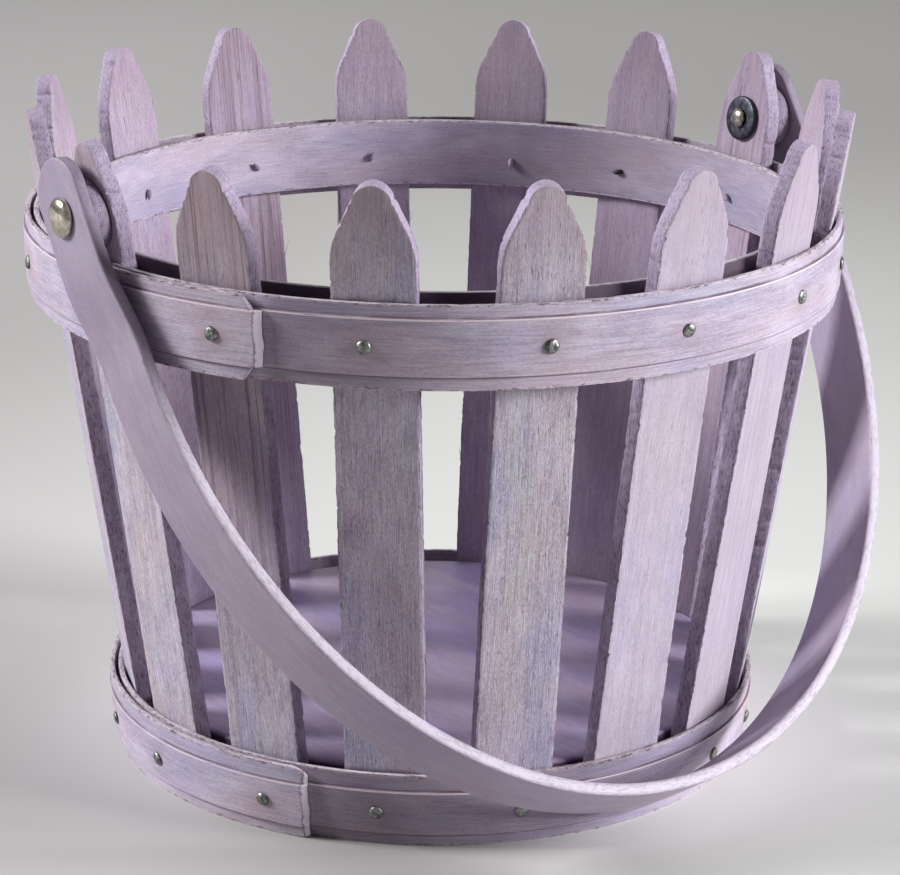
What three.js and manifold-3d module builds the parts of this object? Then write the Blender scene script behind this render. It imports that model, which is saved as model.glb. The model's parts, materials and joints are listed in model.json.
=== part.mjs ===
// Round picket basket with a drop handle: leaning pickets between nailed hoops, a round base board
// and a bent strip handle that swings on two rivets. Millimetres, +Z up, origin on the floor at the
// middle of the base board. +X runs along the pivot line and the handle hangs towards -Y.
import * as THREE from 'three';
import Module from 'manifold-3d';

const wasm = await Module();
wasm.setup();

// Staves
const STAVE_COUNT = 16;
const STAVE_WIDTH = 22.4;
const STAVE_THICK = 4.6;
const HEIGHT = 189.5;
const FOOT_RADIUS = 87.4;
const TIP_RADIUS = 116.5;
const TAPER_HEIGHT = 17;
const TIP_ROUND = 5.2;
const SHOULDER_ROUND = 16;
const FOOT_LIFT = 0.6;
// How far, in degrees, the hand-set spacing drifts from an even ring
const SPACING_DRIFT = 1.8;

// Base board
const BASE_THICK = 20.6;

// Hoops, each a strip with a raised middle face and a lower lip along both edges
const HOOP_THICK = 2.2;
const LIP_STEP = 0.7;
const TOP_HOOP_HEIGHT = 23;
const TOP_LIP = 3.8;
const PICKET_RISE = 30.8;
const TOP_HOOP_SLOPE = 0.04;
const BOTTOM_HOOP_HEIGHT = 21.5;
const BOTTOM_UPPER_LIP = 5;
const BOTTOM_LOWER_LIP = 3.5;
const BOTTOM_HOOP_SLOPE = 0.12;
const INNER_HOOP_HEIGHT = 20;
const INNER_HOOP_THICK = 2.2;
const INNER_HOOP_SLOPE = 0.07;
const INNER_HOOP_STEP_UP = 0.9;
// Where each outer strip's visible end lies round the basket, and how far it laps back over itself
const TOP_END_ANGLE = 212.5;
const BOTTOM_END_ANGLE = 214;
const LAP_ANGLE = 90;
const RAMP_ANGLE = 25;
const STEP_ANGLE = 5;

// Nails
const NAIL_HEAD_RADIUS = 1.95;
const NAIL_HEAD_HEIGHT = 0.9;
const NAIL_RADIUS = 0.85;
const NAIL_BITE = 11;
// How far each nail is set to one side of its stave's middle, turn about
const NAIL_STAGGER = 2;

// Handle and pivots
const HANDLE_WIDTH = 22.4;
const HANDLE_THICK = 3.4;
const HANDLE_END = 16;
const HANDLE_SKEW = 3.7;
const LEG_DRAW_IN = 3.6;
const ARCH_START = 42.6;
const FLOOR_GAP = 6.7;
const PIVOT_DROP = 19.1;
const SPACER_RADIUS = 9.8;
const SPACER_THICK = 4.8;
const RIVET_RADIUS = 2.5;
const RIVET_HEAD_RADIUS = 5.4;
const RIVET_HEAD_HEIGHT = 2.6;
const PEEN_RADIUS = 3.8;
const PEEN_HEIGHT = 1.5;
const WASHER_RADIUS = 6.6;
const WASHER_THICK = 1.2;

// Clearances
const FIT_GAP = 0.3;
const NAIL_GAP = 0.3;
const PIVOT_PLAY = 0.1;
const REST_GAP = 2.3;

// Derived sizes
const PITCH = 360 / STAVE_COUNT;
const LEAN_SLOPE = (TIP_RADIUS - FOOT_RADIUS) / HEIGHT;
const LEAN = Math.atan(LEAN_SLOPE);
const STAVE_ACROSS = STAVE_THICK / Math.cos(LEAN);
const TOP_HOOP_TOP = HEIGHT - PICKET_RISE;
const TOP_HOOP_LOW = TOP_HOOP_TOP - TOP_HOOP_HEIGHT;
const INNER_HOOP_TOP = TOP_HOOP_TOP + INNER_HOOP_STEP_UP;
const INNER_HOOP_LOW = INNER_HOOP_TOP - INNER_HOOP_HEIGHT;
const PIVOT_Z = HEIGHT - PIVOT_DROP;
const LAYER = HOOP_THICK + FIT_GAP;
const UP = new THREE.Vector3(0, 0, 1);

const wood = new THREE.MeshStandardMaterial({ color: 0xb3a6ba, roughness: 0.72, metalness: 0 });
const satinWood = new THREE.MeshStandardMaterial({ color: 0xa89bb6, roughness: 0.45, metalness: 0 });
const nailSteel = new THREE.MeshStandardMaterial({ color: 0x8f968f, roughness: 0.45, metalness: 0.9 });
const nickel = new THREE.MeshStandardMaterial({ color: 0xc9c1a8, roughness: 0.22, metalness: 1 });
const darkSteel = new THREE.MeshStandardMaterial({ color: 0x5c5f66, roughness: 0.35, metalness: 0.9 });

const radians = (degrees) => THREE.MathUtils.degToRad(degrees);

// Outer face of a stave on its middle line, and of its two corners, at a height
const faceRadius = (z) => FOOT_RADIUS + LEAN_SLOPE * z;
const cornerRadius = (z) => Math.hypot(faceRadius(z), STAVE_WIDTH / 2);

function staveAngle(index) {
  const drift = SPACING_DRIFT * Math.cos(radians((index - 1) * PITCH));
  return 180 + index * PITCH + drift;
}

function radial(angle) {
  return new THREE.Vector3(Math.cos(radians(angle)), Math.sin(radians(angle)), 0);
}

// Closed mesh from triangles: corners that coincide are welded and empty triangles dropped
function solid(geometry) {
  const position = geometry.getAttribute('position');
  const index = geometry.index ? geometry.index.array : [...Array(position.count).keys()];
  const seen = new Map();
  const points = [];
  const remap = [];
  for (let i = 0; i < position.count; i++) {
    const p = [position.getX(i), position.getY(i), position.getZ(i)];
    const key = p.map((value) => Math.round(value * 1e4)).join(',');
    if (!seen.has(key)) {
      seen.set(key, points.length / 3);
      points.push(...p);
    }
    remap.push(seen.get(key));
  }
  const triangles = [];
  for (let i = 0; i < index.length; i += 3) {
    const [a, b, c] = [remap[index[i]], remap[index[i + 1]], remap[index[i + 2]]];
    if (a !== b && b !== c && a !== c) triangles.push(a, b, c);
  }
  const mesh = new wasm.Mesh({
    numProp: 3,
    vertProperties: new Float32Array(points),
    triVerts: new Uint32Array(triangles),
  });
  return new wasm.Manifold(mesh);
}

// Skin over a row of matching sections, closed by a flat cap at each end
function loft(sections, outline) {
  const count = outline.length;
  const position = sections.flat().flatMap((p) => [p.x, p.y, p.z]);
  const index = [];
  for (let i = 0; i + 1 < sections.length; i++) {
    for (let j = 0; j < count; j++) {
      const a = i * count + j;
      const b = i * count + ((j + 1) % count);
      index.push(a, b, a + count, b, b + count, a + count);
    }
  }
  const last = (sections.length - 1) * count;
  for (const [a, b, c] of THREE.ShapeUtils.triangulateShape(outline, [])) {
    index.push(a, c, b, last + a, last + b, last + c);
  }
  if (signedVolume(position, index) < 0) index.reverse();
  const geometry = new THREE.BufferGeometry();
  geometry.setAttribute('position', new THREE.Float32BufferAttribute(position, 3));
  geometry.setIndex(index);
  return solid(geometry);
}

function signedVolume(position, index) {
  const point = (i) => new THREE.Vector3().fromArray(position, 3 * i);
  let volume = 0;
  for (let i = 0; i < index.length; i += 3) {
    const cross = point(index[i + 1]).cross(point(index[i + 2]));
    volume += point(index[i]).dot(cross) / 6;
  }
  return volume;
}

// Straight board with the given outline, its front face at depth 0 and its back at -depth
function board(outline, depth) {
  const front = outline.map((p) => new THREE.Vector3(p.x, p.y, 0));
  const back = outline.map((p) => new THREE.Vector3(p.x, p.y, -depth));
  return loft([back, front], outline);
}

function moved(body, matrix) {
  return body.transform(matrix.toArray());
}

// Frame of a stave: x across it, y up its length, z out of its outer face
function staveFrame(angle) {
  const out = radial(angle);
  const across = new THREE.Vector3().crossVectors(UP, out);
  const along = out.clone().multiplyScalar(Math.sin(LEAN)).addScaledVector(UP, Math.cos(LEAN));
  const normal = new THREE.Vector3().crossVectors(across, along);
  const matrix = new THREE.Matrix4().makeBasis(across, along, normal);
  return matrix.setPosition(out.multiplyScalar(FOOT_RADIUS));
}

// Turned piece from a profile of radius and height pairs, its axis set along a direction
function turned(profile, start, direction, segments) {
  const points = profile.map(([r, h]) => new THREE.Vector2(r, h));
  const geometry = new THREE.LatheGeometry(points, segments);
  const turn = new THREE.Quaternion().setFromUnitVectors(new THREE.Vector3(0, 1, 0), direction);
  geometry.applyMatrix4(new THREE.Matrix4().compose(start, turn, new THREE.Vector3(1, 1, 1)));
  const body = solid(geometry);
  if (body.volume() > 0) return body;
  const index = geometry.index.array;
  geometry.setIndex([...index].reverse());
  return solid(geometry);
}

function rod(start, direction, length, radius, segments) {
  return turned([[0, 0], [radius, 0], [radius, length], [0, length]], start, direction, segments);
}

// Outer hoops

// Strip wound once round the staves and then over its own start, rising on a ramp
function hoopShape(low, high, lowerLip, upperLip, slope, endAngle) {
  const end = endAngle + 360;
  const start = end - 360 - LAP_ANGLE;
  const inside = cornerRadius(high) + FIT_GAP;
  const rise = (angle) => {
    const top = start + 360 - STEP_ANGLE;
    const t = THREE.MathUtils.clamp((angle - top + RAMP_ANGLE) / RAMP_ANGLE, 0, 1);
    return LAYER * t * t * (3 - 2 * t);
  };
  const innerAt = (angle, z) => inside + slope * (z - high) + rise(angle);
  // Unwound angle of the outermost layer over a place round the basket
  const outermost = (angle) => {
    let unwound = angle;
    while (unwound + 360 <= end) unwound += 360;
    while (unwound > end) unwound -= 360;
    return unwound;
  };
  return { low, high, lowerLip, upperLip, slope, start, end, innerAt, outermost };
}

// Section of the strip; clip trims its corners and thin is the share of thickness kept
function hoopSection(hoop, angle, clip, thin) {
  const body = (HOOP_THICK - LIP_STEP) * thin;
  const face = body + LIP_STEP * thin;
  const lowLine = hoop.low + hoop.lowerLip;
  const highLine = hoop.high - hoop.upperLip;
  const corners = [
    [0, hoop.low + clip], [body, hoop.low + clip], [body, lowLine], [face, lowLine],
    [face, highLine], [body, highLine], [body, hoop.high - clip], [0, hoop.high - clip],
  ];
  const out = radial(angle);
  const section = corners.map(([offset, z]) => {
    const radius = hoop.innerAt(angle, z) + offset;
    return out.clone().multiplyScalar(radius).addScaledVector(UP, z);
  });
  return { section, outline: corners.map(([x, y]) => new THREE.Vector2(x, y)) };
}

function outerHoop(hoop) {
  const clip = 0.85 * Math.min(hoop.lowerLip, hoop.upperLip);
  const radius = hoop.innerAt(hoop.end, hoop.high);
  const perMillimetre = THREE.MathUtils.radToDeg(1 / radius);
  const tail = 5 * perMillimetre;
  const steps = Math.floor((hoop.end - tail - hoop.start) / STEP_ANGLE);
  const sections = [];
  for (let i = 0; i <= steps; i++) {
    sections.push(hoopSection(hoop, hoop.start + i * STEP_ANGLE, 0, 1).section);
  }
  sections.push(hoopSection(hoop, hoop.end - tail, 0, 1).section);
  sections.push(hoopSection(hoop, hoop.end - tail / 2, clip / 2, 1).section);
  sections.push(hoopSection(hoop, hoop.end, clip, 0.25).section);
  return loft(sections, hoopSection(hoop, hoop.start, 0, 1).outline);
}

const topHoop = hoopShape(
  TOP_HOOP_LOW, TOP_HOOP_TOP, TOP_LIP, TOP_LIP, TOP_HOOP_SLOPE, TOP_END_ANGLE);
const bottomHoop = hoopShape(
  0, BOTTOM_HOOP_HEIGHT, BOTTOM_LOWER_LIP, BOTTOM_UPPER_LIP, BOTTOM_HOOP_SLOPE, BOTTOM_END_ANGLE);

// Inner hoop

const innerOuterRadius = (z) => {
  const inside = faceRadius(INNER_HOOP_LOW) - STAVE_ACROSS - FIT_GAP;
  return inside + INNER_HOOP_SLOPE * (z - INNER_HOOP_LOW);
};

function innerHoop() {
  const corners = [
    [-INNER_HOOP_THICK, INNER_HOOP_LOW], [0, INNER_HOOP_LOW],
    [0, INNER_HOOP_TOP], [-INNER_HOOP_THICK, INNER_HOOP_TOP],
  ];
  const outline = corners.map(([x, y]) => new THREE.Vector2(x, y));
  // Butt joint left open by a hair on the middle of a stave
  const gap = THREE.MathUtils.radToDeg(FIT_GAP / innerOuterRadius(INNER_HOOP_LOW));
  const start = staveAngle(1);
  const steps = Math.round(360 / STEP_ANGLE);
  const sections = [];
  for (let i = 0; i <= steps; i++) {
    const out = radial(start + gap + (i * (360 - 2 * gap)) / steps);
    sections.push(corners.map(([offset, z]) => {
      const radius = innerOuterRadius(z) + offset;
      return out.clone().multiplyScalar(radius).addScaledVector(UP, z);
    }));
  }
  return loft(sections, outline);
}

// Nails

// Head point, inward direction and outward direction of the nail through one stave
function nailLine(hoop, index) {
  const z = (hoop.low + hoop.lowerLip + hoop.high - hoop.upperLip) / 2;
  const aside = (index % 2 ? 1 : -1) * NAIL_STAGGER;
  const angle = staveAngle(index) + THREE.MathUtils.radToDeg(aside / faceRadius(z));
  const tilt = Math.atan(hoop.slope);
  const out = radial(angle).multiplyScalar(Math.cos(tilt)).addScaledVector(UP, -Math.sin(tilt));
  const radius = hoop.innerAt(hoop.outermost(angle), z) + HOOP_THICK;
  const seat = radial(angle).multiplyScalar(radius).addScaledVector(UP, z);
  return { seat, out, inward: out.clone().negate(), radius, tilt };
}

function nail(line, length) {
  const head = NAIL_HEAD_RADIUS;
  const tall = NAIL_HEAD_HEIGHT;
  const profile = [
    [0, -length], [NAIL_RADIUS, 1.6 - length], [NAIL_RADIUS, 0], [head, 0],
    [head, tall * 0.55], [head * 0.6, tall * 0.9], [0, tall],
  ];
  const start = line.seat.clone().addScaledVector(line.out, NAIL_GAP / 2);
  return turned(profile, start, line.out, 8);
}

function nailHole(line, length) {
  const start = line.seat.clone().addScaledVector(line.out, 2);
  return rod(start, line.inward, length + 2 + NAIL_GAP, NAIL_RADIUS + NAIL_GAP, 8);
}

const topLength = (line) => {
  const z = line.seat.z;
  const depth = line.radius - innerOuterRadius(z) + INNER_HOOP_THICK + 0.9;
  return depth / Math.cos(line.tilt);
};
const bottomLength = (line) => {
  const depth = line.radius - faceRadius(line.seat.z) + STAVE_ACROSS + NAIL_BITE;
  return depth / Math.cos(line.tilt);
};

// Handle

// Pivot line through the middles of the first stave and the one facing it
const pivotFace = faceRadius(PIVOT_Z);
const PIVOT_Y = (pivotFace - STAVE_ACROSS / 2) * Math.sin(radians(staveAngle(0)));
const pivotX = Math.abs(pivotFace * Math.cos(radians(staveAngle(0))));
const HANDLE_INSIDE = pivotX + FIT_GAP + SPACER_THICK + FIT_GAP;
const PIVOT_HALF = HANDLE_INSIDE + HANDLE_THICK / 2;
const ARCH_HALF = PIVOT_HALF - LEG_DRAW_IN;
const LEG_FLAT = SPACER_RADIUS + 4;

// Angle from straight down at which the hanging strip leans on the bottom hoop, and its drop
function hanging() {
  const half = HANDLE_WIDTH / 2;
  const rest = bottomHoop.innerAt(270, BOTTOM_HOOP_HEIGHT / 2) + HOOP_THICK + REST_GAP;
  let hang = 0.5;
  let drop = HEIGHT;
  for (let i = 0; i < 60; i++) {
    const height = PIVOT_Z - FLOOR_GAP - half * Math.sin(hang);
    drop = height / Math.cos(hang) - HANDLE_THICK / 2;
    const reach = rest + PIVOT_Y + half * Math.cos(hang);
    hang = Math.asin(Math.min(0.95, reach / (drop - HANDLE_THICK / 2)));
  }
  return { hang, drop };
}

const { hang: HANG, drop: DROP } = hanging();

// Middle line of the right leg: flat at the pivot, drawn in below it, then a quarter ellipse
function handleLine() {
  const line = [];
  const round = HANDLE_WIDTH / 2;
  for (const turn of [78, 62, 46, 30, 15, 0]) {
    const v = round - HANDLE_END - round * Math.sin(radians(turn));
    line.push({ u: PIVOT_HALF, v, half: round * Math.cos(radians(turn)) });
  }
  line.push({ u: PIVOT_HALF, v: LEG_FLAT, half: round });
  const blends = 6;
  for (let i = 1; i <= blends; i++) {
    const t = i / blends;
    const u = PIVOT_HALF - LEG_DRAW_IN * t * t * (3 - 2 * t);
    line.push({ u, v: LEG_FLAT + (ARCH_START - LEG_FLAT) * t, half: round });
  }
  const steps = 18;
  for (let i = 1; i <= steps; i++) {
    const t = radians((90 * i) / steps);
    const v = ARCH_START + (DROP - ARCH_START) * Math.sin(t);
    line.push({ u: ARCH_HALF * Math.cos(t), v, half: round });
  }
  return line;
}

function handle() {
  const right = handleLine();
  const left = right.slice(0, -1).map((p) => ({ ...p, u: -p.u }));
  const line = [...right, ...left.reverse()];
  for (const p of line) p.u += HANDLE_SKEW * Math.max(0, (p.v - LEG_FLAT) / (DROP - LEG_FLAT)) ** 2;
  const down = new THREE.Vector3(0, -Math.sin(HANG), -Math.cos(HANG));
  const front = new THREE.Vector3(0, -Math.cos(HANG), Math.sin(HANG));
  const across = new THREE.Vector3(1, 0, 0);
  const sections = line.map((p, i) => {
    const before = line[Math.max(0, i - 1)];
    const after = line[Math.min(line.length - 1, i + 1)];
    const run = new THREE.Vector2(after.u - before.u, after.v - before.v).normalize();
    const corner = (thick, wide) => new THREE.Vector3(0, PIVOT_Y, PIVOT_Z)
      .addScaledVector(across, p.u + thick * run.y)
      .addScaledVector(down, p.v - thick * run.x)
      .addScaledVector(front, wide * p.half);
    const t = HANDLE_THICK / 2;
    return [corner(-t, -1), corner(t, -1), corner(t, 1), corner(-t, 1)];
  });
  const t = HANDLE_THICK / 2;
  const outline = [[-t, -1], [t, -1], [t, 1], [-t, 1]].map(([x, y]) => new THREE.Vector2(x, y));
  const hole = rod(
    new THREE.Vector3(-2 * PIVOT_HALF, PIVOT_Y, PIVOT_Z), across, 4 * PIVOT_HALF,
    RIVET_RADIUS + PIVOT_PLAY, 24);
  return loft(sections, outline).subtract(hole);
}

// Pivots: side is -1 at the first stave and 1 at the one facing it

function pivotAngle(side) {
  return side < 0 ? staveAngle(0) : staveAngle(STAVE_COUNT / 2);
}

function pivotPoint(side, x) {
  return new THREE.Vector3(side * x, PIVOT_Y, PIVOT_Z);
}

// Point on the stave's inner face where the pivot line leaves it, and that face's direction
function innerSeat(side) {
  const frame = staveFrame(pivotAngle(side));
  const normal = new THREE.Vector3().setFromMatrixColumn(frame, 2);
  const onFace = new THREE.Vector3().setFromMatrixPosition(frame).addScaledVector(normal, -STAVE_THICK);
  const plane = new THREE.Plane().setFromNormalAndCoplanarPoint(normal, onFace);
  const along = new THREE.Vector3(side, 0, 0);
  const distance = -plane.distanceToPoint(pivotPoint(side, 0)) / normal.dot(along);
  return { point: pivotPoint(side, distance), inward: normal.negate() };
}

function spacer(side) {
  const outward = new THREE.Vector3(side, 0, 0);
  const half = SPACER_RADIUS * 2;
  const outline = [[-half, -half], [half, -half], [half, half], [-half, half]]
    .map(([x, y]) => new THREE.Vector2(x, y + PIVOT_Z / Math.cos(LEAN)));
  const lift = new THREE.Matrix4().makeTranslation(0, 0, FIT_GAP);
  const stave = moved(board(outline, 4 * SPACER_THICK), staveFrame(pivotAngle(side)).multiply(lift));
  const length = SPACER_THICK + STAVE_THICK;
  const disc = rod(pivotPoint(side, HANDLE_INSIDE - FIT_GAP - length), outward, length, SPACER_RADIUS, 24);
  const hole = rod(pivotPoint(side, 0), outward, 2 * PIVOT_HALF, RIVET_RADIUS + FIT_GAP, 24);
  return disc.subtract(stave).subtract(hole);
}

function washer(side) {
  const seat = innerSeat(side);
  const start = seat.point.clone().addScaledVector(seat.inward, FIT_GAP);
  const outward = new THREE.Vector3(side, 0, 0);
  const hole = rod(pivotPoint(side, 0), outward, 2 * PIVOT_HALF, RIVET_RADIUS + FIT_GAP, 24);
  return rod(start, seat.inward, WASHER_THICK, WASHER_RADIUS, 24).subtract(hole);
}

function rivet(side) {
  const outward = new THREE.Vector3(side, 0, 0);
  const seat = innerSeat(side);
  const headStart = PIVOT_HALF + HANDLE_THICK / 2 + FIT_GAP;
  const peenStart = seat.point.clone().addScaledVector(seat.inward, 2 * FIT_GAP + WASHER_THICK);
  const shankStart = pivotPoint(side, Math.abs(peenStart.x) - PEEN_HEIGHT * 0.4);
  const shankLength = headStart + RIVET_HEAD_HEIGHT * 0.3 - Math.abs(shankStart.x);
  const dome = (radius, height) => [
    [0, 0], [radius, 0], [radius * 0.97, height * 0.3], [radius * 0.8, height * 0.66],
    [radius * 0.45, height * 0.92], [0, height],
  ];
  const head = turned(
    dome(RIVET_HEAD_RADIUS, RIVET_HEAD_HEIGHT), pivotPoint(side, headStart), outward, 20);
  const peen = turned(dome(PEEN_RADIUS, PEEN_HEIGHT), peenStart, seat.inward, 16);
  const shank = rod(shankStart, outward, shankLength, RIVET_RADIUS, 24);
  return shank.add(head).add(peen);
}

// Staves

// Picket outline: square foot, straight sides, softened shoulders, straight tapers and a round tip
function picketOutline() {
  const half = STAVE_WIDTH / 2;
  const top = HEIGHT / Math.cos(LEAN);
  const shoulder = top - TAPER_HEIGHT;
  const centre = top - TIP_ROUND;
  const reach = Math.hypot(half, centre - shoulder);
  const bend = Math.acos(TIP_ROUND / reach) + Math.atan2(shoulder - centre, half);
  const easeIn = half - SHOULDER_ROUND;
  const easeAt = shoulder - SHOULDER_ROUND * Math.tan(bend / 2);
  const side = [];
  const shoulderSteps = 3;
  for (let i = 0; i <= shoulderSteps; i++) {
    const turn = (bend * i) / shoulderSteps;
    side.push([easeIn + SHOULDER_ROUND * Math.cos(turn), easeAt + SHOULDER_ROUND * Math.sin(turn)]);
  }
  const tip = [];
  const arcSteps = 6;
  for (let i = 0; i <= arcSteps; i++) {
    const turn = bend + ((Math.PI - 2 * bend) * i) / arcSteps;
    tip.push([TIP_ROUND * Math.cos(turn), centre + TIP_ROUND * Math.sin(turn)]);
  }
  const otherSide = side.map(([x, y]) => [-x, y]).reverse();
  const foot = FOOT_LIFT / Math.cos(LEAN);
  const points = [[-half, foot], [half, foot], ...side, ...tip, ...otherSide];
  return points.map(([x, y]) => new THREE.Vector2(x, y));
}

function picket(index) {
  const angle = staveAngle(index);
  let body = moved(board(picketOutline(), STAVE_THICK), staveFrame(angle));
  const topLine = nailLine(topHoop, index);
  const bottomLine = nailLine(bottomHoop, index);
  body = body.subtract(nailHole(topLine, topLength(topLine)));
  body = body.subtract(nailHole(bottomLine, bottomLength(bottomLine)));
  if (index % (STAVE_COUNT / 2) === 0) {
    const side = index === 0 ? -1 : 1;
    const outward = new THREE.Vector3(side, 0, 0);
    const start = pivotPoint(side, pivotFace / 2);
    body = body.subtract(rod(start, outward, pivotFace, RIVET_RADIUS + FIT_GAP, 24));
  }
  return body;
}

// Base board: its edge leans with the staves so that it meets their inner faces

function baseBoard() {
  const edge = (z) => faceRadius(z) - STAVE_ACROSS - FIT_GAP;
  const profile = [[0, 0], [edge(0), 0], [edge(BASE_THICK), BASE_THICK], [0, BASE_THICK]];
  return turned(profile, new THREE.Vector3(), UP, 72);
}

// Assembly

const basket = new THREE.Group();
basket.name = 'picket_basket';

function place(name, body, material) {
  const mesh = body.getMesh();
  const geometry = new THREE.BufferGeometry();
  const position = [];
  for (let i = 0; i < mesh.vertProperties.length; i += mesh.numProp) {
    position.push(...mesh.vertProperties.slice(i, i + 3));
  }
  geometry.setAttribute('position', new THREE.Float32BufferAttribute(position, 3));
  geometry.setIndex([...mesh.triVerts]);
  geometry.computeVertexNormals();
  const node = new THREE.Mesh(geometry, material);
  node.name = name;
  basket.add(node);
}

const twoDigits = (index) => String(index + 1).padStart(2, '0');
let topBody = outerHoop(topHoop);
let bottomBody = outerHoop(bottomHoop);
let innerBody = innerHoop();
let baseBody = baseBoard();
for (let index = 0; index < STAVE_COUNT; index++) {
  const topLine = nailLine(topHoop, index);
  const bottomLine = nailLine(bottomHoop, index);
  const topHole = nailHole(topLine, topLength(topLine));
  const bottomHole = nailHole(bottomLine, bottomLength(bottomLine));
  topBody = topBody.subtract(topHole);
  innerBody = innerBody.subtract(topHole);
  bottomBody = bottomBody.subtract(bottomHole);
  baseBody = baseBody.subtract(bottomHole);
  place(`picket_${twoDigits(index)}`, picket(index), wood);
  place(`top_nail_${twoDigits(index)}`, nail(topLine, topLength(topLine)), nailSteel);
  place(`bottom_nail_${twoDigits(index)}`, nail(bottomLine, bottomLength(bottomLine)), nailSteel);
}
place('top_outer_hoop', topBody, wood);
place('top_inner_hoop', innerBody, wood);
place('bottom_outer_hoop', bottomBody, wood);
place('base_board', baseBody, satinWood);
place('bail_handle', handle(), satinWood);
for (const [word, side] of [['left', -1], ['right', 1]]) {
  place(`pivot_spacer_${word}`, spacer(side), wood);
  place(`pivot_washer_${word}`, washer(side), darkSteel);
  place(`pivot_rivet_${word}`, rivet(side), nickel);
}

export default basket;
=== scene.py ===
# %% [markdown]
# # A picket pail basket, dressed in Blender
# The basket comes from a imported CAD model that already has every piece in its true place.
# This lesson loads that model as a fixed frame and gives each piece its real surface:
# sawn, stained slats, wound hoops, nail heads, a bent handle and riveted pivots.
# Everything is in metres, in the same frame as the CAD model: +Z up, origin under the base board,
# +X along the handle's pivot line, and the handle hanging towards -Y.

# %% Load the frame
import json
import math
import bmesh
import bpy
import numpy as np
from mathutils import Matrix, Vector


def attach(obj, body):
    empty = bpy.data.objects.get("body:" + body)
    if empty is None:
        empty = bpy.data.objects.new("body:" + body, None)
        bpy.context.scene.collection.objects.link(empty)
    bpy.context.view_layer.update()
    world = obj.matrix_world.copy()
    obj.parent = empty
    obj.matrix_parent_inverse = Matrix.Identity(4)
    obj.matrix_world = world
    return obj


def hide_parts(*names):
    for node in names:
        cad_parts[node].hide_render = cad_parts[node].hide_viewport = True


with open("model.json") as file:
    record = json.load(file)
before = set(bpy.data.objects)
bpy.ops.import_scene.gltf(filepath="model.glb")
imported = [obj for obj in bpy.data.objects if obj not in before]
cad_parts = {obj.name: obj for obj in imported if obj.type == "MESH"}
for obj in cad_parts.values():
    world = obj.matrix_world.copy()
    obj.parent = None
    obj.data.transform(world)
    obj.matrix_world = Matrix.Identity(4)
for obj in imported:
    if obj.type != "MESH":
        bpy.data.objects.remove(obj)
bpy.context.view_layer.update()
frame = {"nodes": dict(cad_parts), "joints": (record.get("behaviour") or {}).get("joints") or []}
print("pieces in the frame:", len(frame["nodes"]))

# %% [markdown]
# ## Sizes
# A basket maker works from a short list: how wide a slat is, how far it leans, where the hoops sit.
# The same list drives every piece below, so a slat, its nail and its hoop agree with each other.
# Lengths are written in millimetres times MM, because a maker thinks in millimetres.

# %% Sizes of the basket
MM = 0.001
PICKETS = 16
PICKET_WIDTH = 22.4 * MM
PICKET_THICK = 4.6 * MM
HEIGHT = 189.5 * MM
FOOT_RADIUS = 87.4 * MM
TIP_RADIUS = 116.5 * MM
TAPER = 17 * MM
TIP_ROUND = 5.2 * MM
SHOULDER_SOFT = 3.0 * MM
FOOT_LIFT = 0.6 * MM
DRIFT = 1.8
PITCH = 360 / PICKETS
LEAN_SLOPE = (TIP_RADIUS - FOOT_RADIUS) / HEIGHT
LEAN = math.atan(LEAN_SLOPE)
BOARD_LENGTH = HEIGHT / math.cos(LEAN)
FIT_GAP = 0.3 * MM
HOOP_THICK = 2.2 * MM
LAYER = HOOP_THICK + FIT_GAP
UP = Vector((0, 0, 1))


def face_radius(z):
    return FOOT_RADIUS + LEAN_SLOPE * z


def corner_radius(z):
    return math.hypot(face_radius(z), PICKET_WIDTH / 2)


def picket_angle(index):
    return 180 + index * PITCH + DRIFT * math.cos(math.radians((index - 1) * PITCH))


def radial(angle):
    return Vector((math.cos(math.radians(angle)), math.sin(math.radians(angle)), 0))


print("lean of a picket, degrees:", round(math.degrees(LEAN), 2))

# %% [markdown]
# ## Camera
# The photograph was taken with a long lens from a little above the rim, turned to the left of the
# handle. The camera stands where the rims, tips and nails of the model fall on those of the picture.
# The image is 900 by 875, so the sensor's 36 mm lie across its width.

# %% Camera at the photograph's angle
AZIMUTH = math.radians(-35.2)
ELEVATION = math.radians(17.38)
ROLL = math.radians(0.57)
DISTANCE = 0.9914
AIM_RIGHT = 3.87 * MM
AIM_HEIGHT = 88.1 * MM
IMAGE_WIDTH = 900
FOCAL_PIXELS = 3421
SENSOR_WIDTH = 36
camera_data = bpy.data.cameras.new("camera")
camera_data.sensor_width = SENSOR_WIDTH
camera_data.lens = FOCAL_PIXELS * SENSOR_WIDTH / IMAGE_WIDTH
camera_data.clip_start = 0.05
camera_data.clip_end = 50
camera = bpy.data.objects.new("camera", camera_data)
bpy.context.scene.collection.objects.link(camera)
back = Vector((
    math.sin(AZIMUTH) * math.cos(ELEVATION),
    -math.cos(AZIMUTH) * math.cos(ELEVATION),
    math.sin(ELEVATION),
))
camera_right = Vector((math.cos(AZIMUTH), math.sin(AZIMUTH), 0))
camera_up = back.cross(camera_right)
target = camera_right * AIM_RIGHT + UP * AIM_HEIGHT
rolled_right = camera_right * math.cos(ROLL) + camera_up * math.sin(ROLL)
rolled_up = camera_up * math.cos(ROLL) - camera_right * math.sin(ROLL)
turn = Matrix((rolled_right, rolled_up, back)).transposed().to_4x4()
camera.matrix_world = Matrix.Translation(target + back * DISTANCE) @ turn
bpy.context.scene.camera = camera
print("camera stands at", [round(x, 3) for x in camera.matrix_world.translation])

# %% [markdown]
# ## Writing formulas as nodes
# Geometry Nodes and shader nodes do arithmetic with Math nodes, one node for each sign.
# A small wrapper lets a formula be written as plain Python: adding two Field objects adds an Add node.
# Its signs differ only in the node's operation, so a short list makes them all.
# The trees stay ordinary node trees that can be opened and changed in Blender.


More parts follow.
